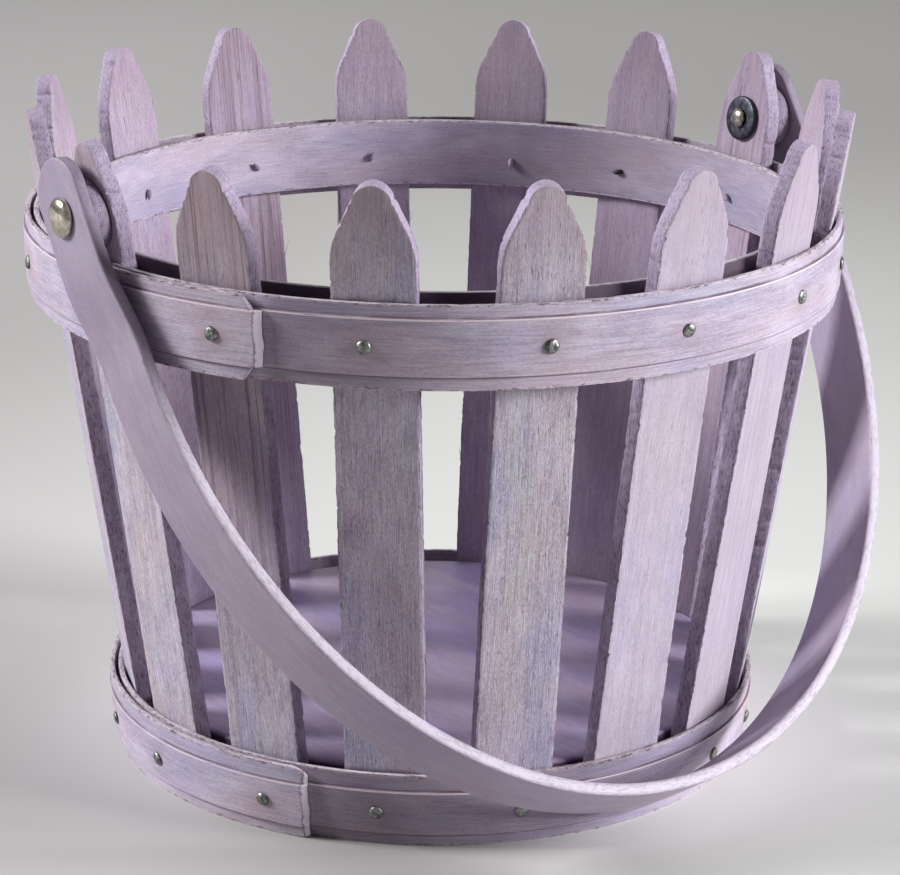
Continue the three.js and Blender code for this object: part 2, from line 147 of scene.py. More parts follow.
# %% A value in a node tree
class Field:
    """A number that varies over a piece; arithmetic on it adds Math nodes to its tree."""

    def __init__(self, tree, socket):
        self.tree = tree
        self.socket = socket

    def __neg__(self):
        return self * -1.0

    def within(self, low, high):
        return self.most(low).least(high)

    def ramp(self, start, end):
        """Rises evenly from 0 to 1 between two values."""
        return ((self - start) * (1 / (end - start))).within(0.0, 1.0)

    def ease(self, start, end):
        """Rises from 0 to 1 between two values, gently at both."""
        limits = {"Value": self, "From Min": start, "From Max": end}
        eased = result(self.tree, "ShaderNodeMapRange", limits, interpolation_type="SMOOTHSTEP")
        return Field(self.tree, eased)


def feed(tree, socket, value):
    if isinstance(value, Field):
        tree.links.new(value.socket, socket)
    elif isinstance(value, bpy.types.NodeSocket):
        tree.links.new(value, socket)
    else:
        socket.default_value = value


def add_node(tree, kind, inputs=None, **settings):
    """Adds a node with its settings and feeds its inputs by name or number."""
    made = tree.nodes.new(kind)
    for name, value in settings.items():
        setattr(made, name, value)
    for name, value in (inputs or {}).items():
        feed(tree, made.inputs[name], value)
    return made


def result(tree, kind, inputs=None, out=0, **settings):
    return add_node(tree, kind, inputs, **settings).outputs[out]


def sign_method(operation, swapped):
    """Method of a field that adds one Math node; swapped puts the field itself last."""
    def method(self, *others):
        values = (*others, self) if swapped else (self, *others)
        answer = result(self.tree, "ShaderNodeMath", dict(enumerate(values)), operation=operation)
        return Field(self.tree, answer)
    return method


SIGNS = {
    "__add__": "ADD", "__sub__": "SUBTRACT", "__mul__": "MULTIPLY", "__truediv__": "DIVIDE",
    "__radd__": "ADD", "__rsub__": "SUBTRACT", "__rmul__": "MULTIPLY", "__pow__": "POWER",
    "above": "GREATER_THAN", "least": "MINIMUM", "most": "MAXIMUM", "smooth_least": "SMOOTH_MIN",
    "size": "ABSOLUTE", "root": "SQRT", "sine": "SINE", "cosine": "COSINE",
}
for word, operation in SIGNS.items():
    setattr(Field, word, sign_method(operation, word.startswith("__r")))
print("a field knows", len(SIGNS), "signs")


# %% Vectors and noise
def vector(tree, x, y, z):
    return result(tree, "ShaderNodeCombineXYZ", {0: x, 1: y, 2: z})


def parts_of(tree, socket):
    return [Field(tree, out) for out in add_node(tree, "ShaderNodeSeparateXYZ", {0: socket}).outputs]


def noise(tree, where, scale, detail=2.0, roughness=0.5):
    inputs = {"Vector": where, "Scale": scale, "Detail": detail, "Roughness": roughness}
    return Field(tree, result(tree, "ShaderNodeTexNoise", inputs))


def stretched_noise(tree, where, scale, detail, roughness=0.5):
    """Noise with its own scale in each of three directions, such as across, through and along the wood."""
    spread = result(tree, "ShaderNodeVectorMath", {0: where, 1: scale}, operation="MULTIPLY")
    return noise(tree, spread, 1.0, detail, roughness)


def scaled(tree, direction, amount):
    return result(tree, "ShaderNodeVectorMath", {0: direction, "Scale": amount}, operation="SCALE")


def summed(tree, first, *others):
    for other in others:
        first = result(tree, "ShaderNodeVectorMath", {0: first, 1: other}, operation="ADD")
    return first


print("formula helpers are ready")

# %% [markdown]
# ## Building and baking a Geometry Nodes tree
# A tree gets named inputs for its sizes, runs once, and its result is kept as a plain mesh. The modifier
# goes away, so what rides on the frame is a finished piece with its place in its mesh. Each tree ends by
# turning its copies into real faces and giving them their material. A box that is bent round a ring is
# mirrored by the formulas, so a tree also turns its faces the right way out; the volume that is printed
# for each piece is positive only when they point outwards.

# %% Trees with named inputs
NUMBER = "NodeSocketFloat"


def numbers(*labels):
    return [(label, NUMBER) for label in labels]


def new_tree(name, inputs, kind="GeometryNodeTree"):
    """Node tree or shader group with named inputs; those that are numbers come back as fields."""
    tree = bpy.data.node_groups.new(name, kind)
    for label, socket_type in inputs:
        tree.interface.new_socket(label, in_out="INPUT", socket_type=socket_type)
    entry = tree.nodes.new("NodeGroupInput")
    given = {}
    for label, socket_type in inputs:
        is_number = socket_type in (NUMBER, "NodeSocketInt")
        given[label] = Field(tree, entry.outputs[label]) if is_number else entry.outputs[label]
    return tree, given


def close_tree(tree, geometry, material, mirrored=False):
    if mirrored:
        geometry = result(tree, "GeometryNodeFlipFaces", {0: geometry})
    real = result(tree, "GeometryNodeRealizeInstances", {"Geometry": geometry})
    dressed = result(tree, "GeometryNodeSetMaterial", {"Geometry": real, "Material": material})
    tree.interface.new_socket("Geometry", in_out="OUTPUT", socket_type="NodeSocketGeometry")
    add_node(tree, "NodeGroupOutput", {"Geometry": dressed})


def store(tree, geometry, name, value, kind="FLOAT", domain="POINT"):
    inputs = {"Geometry": geometry, "Name": name, "Value": value}
    return result(tree, "GeometryNodeStoreNamedAttribute", inputs, data_type=kind, domain=domain)


def recall(tree, name, kind="FLOAT"):
    return result(tree, "GeometryNodeInputNamedAttribute", {"Name": name}, data_type=kind)


def recall_number(tree, name):
    return Field(tree, recall(tree, name))


def move_to(tree, geometry, place):
    return result(tree, "GeometryNodeSetPosition", {"Geometry": geometry, "Position": place})


print("tree helpers are ready")


# %% Bake a tree and settle the piece
def link(name, data):
    made = bpy.data.objects.new(name, data)
    bpy.context.scene.collection.objects.link(made)
    return made


def bake(name, tree, values, start=None):
    """Runs a tree on a starting mesh, or on an empty one, and keeps its result as a plain mesh piece."""
    holder = link(name + "_tree", start or bpy.data.meshes.new(name + "_tree"))
    modifier = holder.modifiers.new("tree", "NODES")
    modifier.node_group = tree
    for item in tree.interface.items_tree:
        if item.item_type == "SOCKET" and item.in_out == "INPUT" and item.name in values:
            modifier[item.identifier] = values[item.name]
    graph = bpy.context.evaluated_depsgraph_get()
    mesh = bpy.data.meshes.new_from_object(holder.evaluated_get(graph))
    mesh.name = name
    holder.modifiers.clear()
    bpy.data.objects.remove(holder)
    return link(name, mesh)


def mark(mesh, name, values, kind="FLOAT"):
    """Writes a number or a vector for each point of a mesh as a named attribute."""
    made = mesh.attributes.new(name, kind, "POINT")
    made.data.foreach_set("value" if kind == "FLOAT" else "vector", np.ravel(values))


def places_of(mesh):
    places = np.empty(len(mesh.vertices) * 3)
    mesh.vertices.foreach_get("co", places)
    return places.reshape(-1, 3)


def volume_of(mesh):
    """Volume inside a closed mesh, below zero if its faces point inwards."""
    mesh.calc_loop_triangles()
    corners = np.empty(len(mesh.loop_triangles) * 3, np.int32)
    mesh.loop_triangles.foreach_get("vertices", corners)
    a, b, c = places_of(mesh)[corners.reshape(-1, 3)].transpose(1, 0, 2)
    return float(np.einsum("ij,ij->i", a, np.cross(b, c)).sum() / 6)


def settle(piece, body, nodes=(), crease=60):
    """Puts a finished piece on its body and hides the CAD nodes that it stands for."""
    piece.data.shade_smooth()
    piece.data.set_sharp_from_angle(angle=math.radians(crease))
    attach(piece, body)
    if nodes:
        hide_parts(*nodes)
    cubic = volume_of(piece.data) * 1e6
    print(piece.name, "has", len(piece.data.polygons), "faces and holds", round(cubic, 2), "cubic cm")


print("pieces can be baked")

# %% [markdown]
# ## Grain shared by all the wood
# Under the stain the wood is pale and straight-grained. Close up it shows hair-thin fibres along its
# length, fine grit, short dark pores, thin brown lines and a few drying cracks. Over these lie broad clouds
# where the stain soaked in unevenly, some bluer and some pinker, and patches of dust. Each piece carries a
# grain attribute: across, through and along the wood, in metres. Noise stretched along the third of these
# gives fibres that follow a lean or a bend, which plain object coordinates could not. The grain is a shader
# group, because every wooden piece uses it.


# %% Colours and shader helpers
def as_colour(value):
    """Linear colour from three screen values of 0 to 255; a node's output stays as it is."""
    if not isinstance(value, tuple):
        return value
    shares = [v / 255 for v in value]
    return (*(v / 12.92 if v <= 0.04045 else ((v + 0.055) / 1.055) ** 2.4 for v in shares), 1)


def blend_colours(tree, share, first, second):
    inputs = {"Factor": share, 6: as_colour(first), 7: as_colour(second)}
    return result(tree, "ShaderNodeMix", inputs, 2, data_type="RGBA")


def coats(tree, base, *layers):
    """Lays coats over a base colour, each with a share and a colour of its own."""
    for share, tone in layers:
        base = blend_colours(tree, share, base, tone)
    return base


def close_group(group, **values):
    for label in values:
        group.interface.new_socket(label, in_out="OUTPUT", socket_type=NUMBER)
    add_node(group, "NodeGroupOutput", values)
    print(group.name, "has", len(group.nodes), "nodes")


print("colour helpers are ready")

# %% Group: fibres, pores, cracks and clouds along the grain
fibre_grain, given = new_tree("fibre_grain", [
    ("Grain", "NodeSocketVector"), *numbers("Pore share", "Crack share"),
], "ShaderNodeTree")


def grain_noise(where, scale, detail, roughness=0.5):
    return stretched_noise(fibre_grain, where, scale, detail, roughness)


warp = grain_noise(given["Grain"], (60, 60, 14), 2.0) - 0.5
across, through, lengthwise = parts_of(fibre_grain, given["Grain"])
bent = vector(fibre_grain, across + warp * 0.0016, through, lengthwise)
streaks = grain_noise(bent, (700, 700, 9), 3.0, 0.6)
fibres = grain_noise(bent, (3000, 3000, 110), 3.0, 0.65)
grit = grain_noise(bent, (3300, 3300, 1100), 2.0, 0.6)
clouds = grain_noise(given["Grain"], (130, 130, 50), 4.0, 0.6)
pore_edge = 0.8 - given["Pore share"] - (clouds - 0.5) * 0.2
pores = grain_noise(bent, (3400, 3400, 230), 1.0).ease(pore_edge, pore_edge + 0.06)
crack_line = grain_noise(bent, (420, 420, 9), 2.0) - 0.5
crack_place = grain_noise(given["Grain"], (90, 90, 30), 1.0)
cracks = (1.0 - crack_line.size().ease(0.002, 0.007)) * crack_place.ease(0.72 - given["Crack share"], 0.78)
close_group(
    fibre_grain,
    Streaks=streaks,
    Fibres=fibres,
    Grit=grit,
    Lines=grain_noise(bent, (1500, 1500, 16), 2.0, 0.6).ease(0.6, 0.72),
    Pores=pores,
    Cracks=cracks,
    Clouds=clouds,
    Tint=grain_noise(given["Grain"], (62, 62, 20), 3.0),
    Dust=grain_noise(bent, (150, 150, 40), 4.0, 0.65),
    Height=streaks * 0.2 + fibres * 0.6 + grit * 0.4 - pores * 0.5 - cracks,
)

# %% [markdown]
# ## Sawn edges
# The stain went deepest into the sawn sides: they are darker and more purple than the faces, speckled
# with torn fibres, and paler along the arris, partly where hands and packing have rubbed them and partly as
# a painted highlight. The group takes the sawn attribute that the trees store and breaks it up with noise.

# %% Group: sawn, rubbed and highlit edges
sawn_edge, given = new_tree("sawn_edge", [("Grain", "NodeSocketVector"), ("Sawn", NUMBER)], "ShaderNodeTree")
sawn = given["Sawn"]
speck_noise = stretched_noise(sawn_edge, given["Grain"], (2300, 2300, 520), 3.0, 0.7)
patches = stretched_noise(sawn_edge, given["Grain"], (300, 300, 110), 4.0, 0.7)
chips = stretched_noise(sawn_edge, given["Grain"], (900, 900, 420), 3.0, 0.7)
arris = sawn * (1.0 - sawn) * 4.0
chipped = (arris * 1.6).least(1.0) * (1.0 - chips).ease(0.53, 0.62)
close_group(
    sawn_edge,
    Speckle=(speck_noise + (patches - 0.5) * 0.5).ease(0.48, 0.62) * sawn,
    Patches=patches.ease(0.42, 0.6) * sawn,
    # Pale arris: rubbed wear and a painted highlight.
    Rubbed=arris * chips.ease(0.5, 0.6),
    Chipped=chipped,
    Height=speck_noise * sawn - chipped,
)


# %% Parts that every material uses
def new_material(name):
    material = bpy.data.materials.new(name)
    material.use_nodes = True
    tree = material.node_tree
    return material, tree, tree.nodes["Principled BSDF"]


def place_group(tree, group, **values):
    inputs = {label.replace("_", " "): value for label, value in values.items()}
    made = add_node(tree, "ShaderNodeGroup", inputs, node_tree=group)
    return {out.name: Field(tree, out) for out in made.outputs}


def attribute(tree, name):
    return Field(tree, result(tree, "ShaderNodeAttribute", out="Fac", attribute_name=name))


def attribute_vector(tree, name):
    return result(tree, "ShaderNodeAttribute", out="Vector", attribute_name=name)


def dress(tree, shader, base, roughness, height, strength, distance):
    """Feeds a material's colour, its roughness and the relief of its surface."""
    relief = {"Height": height, "Strength": strength, "Distance": distance}
    feed(tree, shader.inputs["Base Color"], base)
    feed(tree, shader.inputs["Roughness"], roughness)
    feed(tree, shader.inputs["Normal"], result(tree, "ShaderNodeBump", relief))


def grained_colour(tree, wood, tones, fibre_share, streak_share):
    """Stained colour of a face: clouds from dark to light, tints, dust, streaks, fibres and grit."""
    light, dark, bluer, pinker, dusty = tones
    return coats(
        tree,
        dark,
        (wood["Clouds"].ease(0.34, 0.66), light),
        (wood["Tint"].ease(0.5, 0.64) * 0.7, bluer),
        ((1.0 - wood["Tint"]).ease(0.5, 0.64) * 0.7, pinker),
        (wood["Dust"].ease(0.54, 0.68) * 0.6, dusty),
        ((1.0 - wood["Streaks"]).ease(0.5, 0.7) * streak_share, (136, 120, 138)),
        (wood["Fibres"].ease(0.5, 0.68) * fibre_share, (228, 222, 230)),
        ((1.0 - wood["Fibres"]).ease(0.5, 0.68) * fibre_share, (112, 96, 112)),
        (wood["Grit"].ease(0.54, 0.7) * fibre_share, (232, 226, 232)),
        ((1.0 - wood["Grit"]).ease(0.54, 0.7) * fibre_share, (104, 88, 102)),
    )


print("materials share", fibre_grain.name, "and", sawn_edge.name)

# %% [markdown]
# ## Picket wood
# The pickets wear a thin, dusty lavender wash over open grain. Their tips are torn and browner, their
# sawn sides darker, and their insides more purple. A rule from a picket's number shifts its tint: some are
# tanned browner with streaks, a few wear a thicker wash, and those at the back right are painted darker,
# as painted shade.

# %% Material of the pickets
THICK_WASH_PICKET = 5.0
SHADED_BACK_PICKET = 9.2
PICKET_TONES = ((198, 189, 207), (170, 159, 177), (164, 163, 194), (194, 177, 184), (184, 185, 188))
picket_wood, tree, shader = new_material("picket_wood")
grain = attribute_vector(tree, "grain")
number = attribute(tree, "picket")
sawn = attribute(tree, "sawn")
torn = attribute(tree, "torn")
inside = attribute(tree, "inside")
wood = place_group(tree, fibre_grain, Grain=grain, Pore_share=0.12, Crack_share=0.1 + torn * 0.16)
edge = place_group(tree, sawn_edge, Grain=grain, Sawn=sawn)
own_tint = ((number * 1.7 - 0.13).sine() * 0.5 + 0.5) ** 4.0
tanned = own_tint * parts_of(tree, grain)[2].ease(0.02, 0.1)
thick_wash = ((number - THICK_WASH_PICKET) * 0.5).cosine().ease(0.6, 0.95)
# Pickets at the back right are painted darker, as painted shade.
back_shade = 1.0 - (number - SHADED_BACK_PICKET).size().ease(0.3, 1.8)
soak = blend_colours(tree, torn, (138, 121, 146), (186, 171, 200))
face = coats(
    tree,
    grained_colour(tree, wood, PICKET_TONES, 0.44, 0.36),
    (tanned * (0.5 - inside * 0.2), (150, 127, 136)),
    (inside * 0.42, (172, 146, 176)),
    (torn * (0.55 - inside * 0.25), (154, 131, 138)),
    (wood["Lines"] * (0.2 + tanned * 0.6), (116, 88, 84)),
    ((1.0 - wood["Streaks"]).ease(0.46, 0.64) * tanned * 0.4, (104, 82, 86)),
    (wood["Pores"] * 0.65, (92, 74, 82)),
    (wood["Cracks"] * 0.8, (66, 48, 52)),
    (thick_wash * 0.55, (189, 176, 198)),
    # painted shade on the back right pickets
    (back_shade * 0.32, (96, 76, 98)),
)
edged = coats(
    tree,
    face,
    (sawn * 0.85, soak),
    (edge["Speckle"] * (0.85 - torn * 0.2), (74, 56, 76)),
    (edge["Patches"] * 0.45, (190, 176, 200)),
    # pale arris: rubbed wear and a painted highlight
    (edge["Rubbed"] * 0.75, (226, 216, 228)),
    (edge["Chipped"] * (0.35 + torn * 0.6), (98, 72, 66)),
)
relief = wood["Height"] * 0.8 + edge["Height"] * 1.4
dress(tree, shader, edged, 0.66 + wood["Streaks"] * 0.2, relief, 0.6, 0.22 * MM)
print("picket wood has", len(tree.nodes), "nodes")

# %% [markdown]
# ## Hoop and handle wood
# The hoops are cut from thin bending stock, with long fine fibres that run round the basket. A painted
# highlight runs along the top of each raised face, painted shade lies at the foot of each step, a painted
# shadow under the lower one, and the cut end of a strip shows bare wood. Some stretches are painted darker,
# mostly as painted shade, the side that faces into a slot between layers is painted dark as painted shade,
# and the wood round a nail is rusty. The handle was sanded: its fibres are faint, its edges rubbed nearly
# white and darker near its ends. Both start from the same recipe, so one function builds them with their own
# values.


# %% Material of the bent strips
def line_of(distance, solid, faded):
    """Line that is full up to one distance from its middle and gone at another."""
    return 1.0 - distance.size().ease(solid, faded)


def strip_material(
    name, tones, roughness, fibre_share, streak_share, edge_colour, edge_share, tear_share, bump,
):
    material, tree, shader = new_material(name)
    grain = attribute_vector(tree, "grain")
    sawn = attribute(tree, "sawn")
    upper, lower, end = parts_of(tree, attribute_vector(tree, "lines"))
    wood = place_group(tree, fibre_grain, Grain=grain, Pore_share=0.06, Crack_share=0.02)
    edge = place_group(tree, sawn_edge, Grain=grain, Sawn=sawn)
    face = coats(
        tree,
        grained_colour(tree, wood, tones, fibre_share, streak_share),
        (wood["Pores"] * 0.4, (104, 86, 104)),
        (wood["Cracks"] * 0.7, (84, 66, 74)),
        # Painted shade on stretches of the hoops; the handle is painted darker towards its rivets.
        (attribute(tree, "darker_stretch") * 0.62, (84, 68, 84)),
        (attribute(tree, "rust") * wood["Dust"].ease(0.3, 0.6) * 0.6, (150, 126, 128)),
    )
    # The sawn edges are painted darker purple near the strip's ends.
    edge_near_ends = blend_colours(tree, attribute(tree, "ends") * 0.75, edge_colour, (112, 96, 126))
    edged = coats(
        tree,
        face,
        (sawn * edge_share, edge_near_ends),
        (edge["Speckle"] * tear_share, (104, 80, 88)),
        (edge["Chipped"] * tear_share, (92, 68, 68)),
    )
    wear_and_sheen = stretched_noise(tree, grain, (500, 500, 60), 4.0, 0.65)
    drift = (wear_and_sheen - 0.5) * 0.8 * MM
    cut = end + drift * 2.6
    # A painted highlight along the top of the raised face; painted shade at the foot of each step, a painted
    # shadow under the lower one.
    step_highlight = line_of(upper - 0.2 * MM + drift * 0.25, 0.12 * MM, 0.3 * MM) * wear_and_sheen.ease(0.3, 0.46)
    upper_step_foot_shade = line_of(upper + 0.26 * MM, 0.1 * MM, 0.34 * MM) * wear_and_sheen.ease(0.35, 0.55)
    lower_step_shadow = line_of(lower + 0.14 * MM, 0.12 * MM, 0.42 * MM) * wear_and_sheen.ease(0.28, 0.46)
    bare = 1.0 - cut.ease(-0.5 * MM, -0.1 * MM)
    border = line_of(cut - 0.1 * MM, 0.1 * MM, 0.4 * MM) * wear_and_sheen.ease(0.3, 0.6)
    surface_colour = coats(
        tree,
        edged,
        # painted highlight, then painted shade and shadow at the steps
        (step_highlight * 0.9, (236, 220, 226)),
        ((upper_step_foot_shade * 0.7).most(lower_step_shadow * 0.75), (92, 66, 72)),
        (bare * (0.45 + wear_and_sheen * 0.55), (209, 198, 213)),
        (border * 0.75, (120, 90, 82)),
        # painted shade on the side that faces into a slot between layers
        (attribute(tree, "unseen") * 0.9, (74, 54, 74)),
    )
    relief = wood["Height"] * 0.6 + edge["Height"]
    dress(tree, shader, surface_colour, roughness - 0.08 + wood["Streaks"] * 0.16, relief, bump, 0.2 * MM)
    print(name, "has", len(tree.nodes), "nodes")
    return material


hoop_wood = strip_material(
    "hoop_wood",
    ((198, 186, 208), (170, 157, 180), (168, 162, 193), (188, 168, 184), (182, 180, 192)),
    roughness=0.64, fibre_share=0.28, streak_share=0.14,
    edge_colour=(216, 204, 214), edge_share=0.75, tear_share=0.75, bump=0.45,
)
handle_wood = strip_material(
    "handle_wood",
    ((190, 175, 198), (175, 159, 183), (174, 165, 195), (184, 166, 186), (184, 175, 192)),
    roughness=0.5, fibre_share=0.17, streak_share=0.03,
    edge_colour=(210, 200, 218), edge_share=0.8, tear_share=0.35, bump=0.25,
)

# %% [markdown]
# ## Wood of the base board
# The board inside is planed smooth and finished with a satin coat, a little bluer than the slats. Its
# grain runs straight across, so plain object coordinates, turned to the board's direction, carry it.

# %% Material of the base board
BOARD_TURN = (math.radians(90), 0, math.radians(35))
BASE_TONES = ((184, 168, 200), (160, 143, 178), (158, 146, 194), (180, 159, 183), (170, 159, 184))
base_wood, tree, shader = new_material("base_wood")
spot = result(tree, "ShaderNodeTexCoord", out="Object")
turned_spot = result(tree, "ShaderNodeMapping", {"Vector": spot, "Rotation": BOARD_TURN})
wood = place_group(tree, fibre_grain, Grain=turned_spot, Pore_share=0.0, Crack_share=0.0)
shader.inputs["Specular IOR Level"].default_value = 0.25
stained = grained_colour(tree, wood, BASE_TONES, 0.1, 0.1)
# Painted shade on the rim, which stands in the dark gap behind the bottom hoop and the pickets.
rim_shaded = blend_colours(tree, attribute(tree, "unseen") * 0.9, stained, (70, 52, 70))
relief = wood["Streaks"] + wood["Fibres"] * 0.4
dress(tree, shader, rim_shaded, 0.38 + wood["Clouds"] * 0.2, relief, 0.2, 0.12 * MM)
print("base wood has", len(tree.nodes), "nodes")

# %% [markdown]
# ## Metal
# The nails are galvanised wire nails: dull zinc, a little green-grey, dented by the hammer and darker round
# the rim. Their points inside the rim were brushed over with the wash, all but one. The rivets are plated
# and still bright, with a warm tint, and the washers inside are dark steel.


# %% Metal materials
def metal_material(name, light, dark, roughness, dent, fine):
    material, tree, shader = new_material(name)
    spot = result(tree, "ShaderNodeTexCoord", out="Object")
    patches = noise(tree, spot, 700.0, 4.0, 0.6)
    dents = noise(tree, spot, fine, 2.0, 0.5)
    grime = attribute(tree, "grime")
    paint = attribute(tree, "paint")
    surface_colour = coats(
        tree,
        dark,
        (patches.ease(0.35, 0.65), light),
        # darker where a nail is marked: round a head's rim and on its shank
        (grime * 0.8, (58, 54, 56)),
        (paint, (160, 144, 168)),
    )
    feed(tree, shader.inputs["Metallic"], 1.0 - paint)
    dress(tree, shader, surface_colour, roughness - 0.1 + patches * 0.2 + grime * 0.25, dents, dent, 0.2 * MM)
    return material


nail_steel = metal_material("nail_steel", (162, 165, 161), (94, 97, 94), 0.44, 0.9, 1300.0)
rivet_metal = metal_material("rivet_metal", (214, 208, 194), (176, 168, 150), 0.2, 0.1, 420.0)
washer_steel = metal_material("washer_steel", (84, 86, 96), (56, 58, 66), 0.44, 0.1, 900.0)
print("metals ready")

# %% [markdown]
# ## Stock
# A woodworker starts from square stock. So do the trees below: a box or a sheet of points, each of which
# remembers its place in the stock while formulas move it. Where a piece is made many times, the stock is
# copied to a row of points and the copies are numbered, so that each can have small faults of its own.


# %% Stock, numbered copies and eased arrises
TINY = 1e-6


def marked_stock(tree, kind, inputs):
    place = result(tree, "GeometryNodeInputPosition")
    return store(tree, result(tree, kind, inputs), "stock", place, "FLOAT_VECTOR")


def stock_parts(tree):
    return parts_of(tree, recall(tree, "stock", "FLOAT_VECTOR"))


def numbered_copies(tree, points, stock, name, first=0.0):
    copies = result(tree, "GeometryNodeInstanceOnPoints", {"Points": points, "Instance": stock})
    index = Field(tree, result(tree, "GeometryNodeInputIndex"))
    numbered = store(tree, copies, name, index + first, domain="INSTANCE")
    return result(tree, "GeometryNodeRealizeInstances", {0: numbered})


def ease_arris(x, y, half_x, half_y, arris):
    """Rounds the corners of a square section: points outside the arris circle are drawn back to it."""
    inner_x = (half_x - arris).most(0.0)
    inner_y = (half_y - arris).most(0.0)
    core_x = x.within(-inner_x, inner_x)
    core_y = y.within(-inner_y, inner_y)
    off_x = x - core_x
    off_y = y - core_y
    reach = (off_x * off_x + off_y * off_y).root().most(1e-7)
    pull = (arris / reach).least(1.0)
    return core_x + off_x * pull, core_y + off_y * pull


print("stock helpers are ready")

# %% [markdown]
# ## Pickets
# Each picket is a flat slat with a square foot, straight sides, softened shoulders and a round tip. The
# sides are sawn, so they wander a little, their arrises are eased by handling and their tips are nicked.
# A box of stock is copied once for each picket and every point is moved by formula: first cut to the
# outline, then eased, then leaned into its place in the ring. Geometry Nodes suit this, because one
# rule makes all of them and each still gets its own small faults from its number.

# %% Tree for the ring of pickets
ring, given = new_tree("picket_ring", [
    ("Count", "NodeSocketInt"),
    *numbers("Width", "Thickness", "Length", "Foot lift", "Foot radius", "Lean", "Taper", "Shoulder slope"),
    *numbers("Shoulder softness", "Tip round", "Arris", "Drift", "Sawn waviness", "Nicks", "Fuzz", "Seed"),
    *numbers("First"),
    ("Material", "NodeSocketMaterial"),
])
box = {"Size": (2, 2, 2), "Vertices X": 15, "Vertices Y": 6, "Vertices Z": 270}
row = result(ring, "GeometryNodePoints", {"Count": given["Count"]})
slats = numbered_copies(ring, row, marked_stock(ring, "GeometryNodeMeshCube", box), "picket", given["First"])
number = recall_number(ring, "picket")
side, depth, rise = stock_parts(ring)
print("stock for", PICKETS, "pickets")

# %% Cut each slat to its outline and ease its arrises
NARROWEST = 0.25 * MM
share = (rise + 1.0) * 0.5
along = given["Foot lift"] + (given["Length"] - given["Foot lift"]) * (1.0 - (1.0 - share).most(0.0) ** 1.35)
to_tip = (given["Length"] - along).most(0.0)
taper_line = given["Width"] * 0.5 - (given["Taper"] - to_tip) * given["Shoulder slope"]
straight = (given["Width"] * 0.5).smooth_least(taper_line, given["Shoulder softness"])
from_centre = given["Tip round"] - to_tip
circle = (given["Tip round"] ** 2.0 - from_centre * from_centre).most(0.0).root()
circle = circle + to_tip.above(given["Tip round"])
half = straight.least(circle).most(NARROWEST)
lane = number * 7.31 + given["Seed"]
right_side = side.above(0.0)
wander_at = vector(ring, right_side * 3.0 + lane, along, 0.0)
wander = noise(ring, wander_at, 28.0, 3.0, 0.6) - 0.5
nick_at = vector(ring, right_side * 5.0 + lane * 2.0, along, depth * 0.0008)
nick = noise(ring, nick_at, 420.0, 3.0, 0.6).ease(0.56, 0.66)
edge_place = half + wander * given["Sawn waviness"] - nick * given["Nicks"] * half.ease(0.002, 0.008)
x = (side * (math.pi / 2)).sine() * edge_place
y = depth * given["Thickness"] * 0.5
x, y = ease_arris(x, y, half, given["Thickness"] * 0.5, given["Arris"])
print("outline and arrises written")

# %% Roughen the sawn sides and lean each slat into the ring
CUP = 0.5 * MM
fuzz_at = vector(ring, lane * 1.7 + right_side, y, along * 0.35)
fuzz = noise(ring, fuzz_at, 1100.0, 2.0, 0.7) - 0.5
x = x + fuzz * given["Fuzz"] * side.size().ease(0.8, 1.0) * (right_side * 2.0 - 1.0)
cup_at = vector(ring, lane, along * 0.6, side * 0.15)
y = y + (noise(ring, cup_at, 9.0, 1.0) - 0.5) * CUP * along.ease(0.16, 0.19)
angle = 180.0 + number * PITCH + given["Drift"] * ((number - 1.0) * math.radians(PITCH)).cosine()
angle = angle * math.radians(1)
sink = y - given["Thickness"] * 0.5
lean_sine = given["Lean"].sine()
lean_cosine = given["Lean"].cosine()
radius = given["Foot radius"] + along * lean_sine + sink * lean_cosine
leaned = move_to(ring, slats, vector(
    ring,
    radius * angle.cosine() - x * angle.sine(),
    radius * angle.sine() + x * angle.cosine(),
    along * lean_cosine - sink * lean_sine,
))
grained = store(ring, leaned, "grain", vector(ring, x + number * 0.37, y, along), "FLOAT_VECTOR")
edged = store(ring, grained, "sawn", side.size().ease(0.93, 0.995))
tipped = store(ring, edged, "torn", 1.0 - to_tip.ease(0.004, 0.034))
faced = store(ring, tipped, "inside", 1.0 - depth.above(0.0))
close_tree(ring, faced, given["Material"], mirrored=True)
print("picket tree has", len(ring.nodes), "nodes")

# %% Bake the front and back pickets
tip_centre = BOARD_LENGTH - TIP_ROUND
low_shoulder = BOARD_LENGTH - TAPER
span = math.hypot(PICKET_WIDTH / 2, tip_centre - low_shoulder)
bend = math.acos(TIP_ROUND / span) + math.atan2(low_shoulder - tip_centre, PICKET_WIDTH / 2)
HALF_RING = PICKETS // 2
pickets = {}
for word, first in [("front", 0), ("back", HALF_RING)]:
    pickets[word] = bake(word + "_pickets", ring, {
        "Count": HALF_RING, "Width": PICKET_WIDTH, "Thickness": PICKET_THICK, "Length": BOARD_LENGTH,
        "Foot lift": FOOT_LIFT / math.cos(LEAN), "Foot radius": FOOT_RADIUS, "Lean": LEAN, "Taper": TAPER,
        "Shoulder slope": math.tan(bend), "Shoulder softness": SHOULDER_SOFT, "Tip round": TIP_ROUND,
        "Arris": 0.4 * MM, "Drift": DRIFT, "Sawn waviness": 0.45 * MM, "Nicks": 0.5 * MM, "Fuzz": 0.6 * MM,
        "Seed": 3.0, "First": first, "Material": picket_wood,
    })
    stands_for = [f"picket_{first + k + 1:02d}" for k in range(HALF_RING)]
    settle(pickets[word], "basket", stands_for, 75)

# %% [markdown]
# ## A strip that follows a path
# The hoops and the handle are thin strips that were steamed and bent. Each one follows a path: a circle
# that laps over itself, or a tall arch. The tree takes straight stock, gives its outer face a raised
# middle and lower lips, shapes its ends, and lays it along the path. Its rows of points crowd together at
# the lips and at the two ends, where the shape changes quickly. Sampling a curve keeps the strip's own
# length coordinate, so the grain can run along the bend as it does in bent wood.

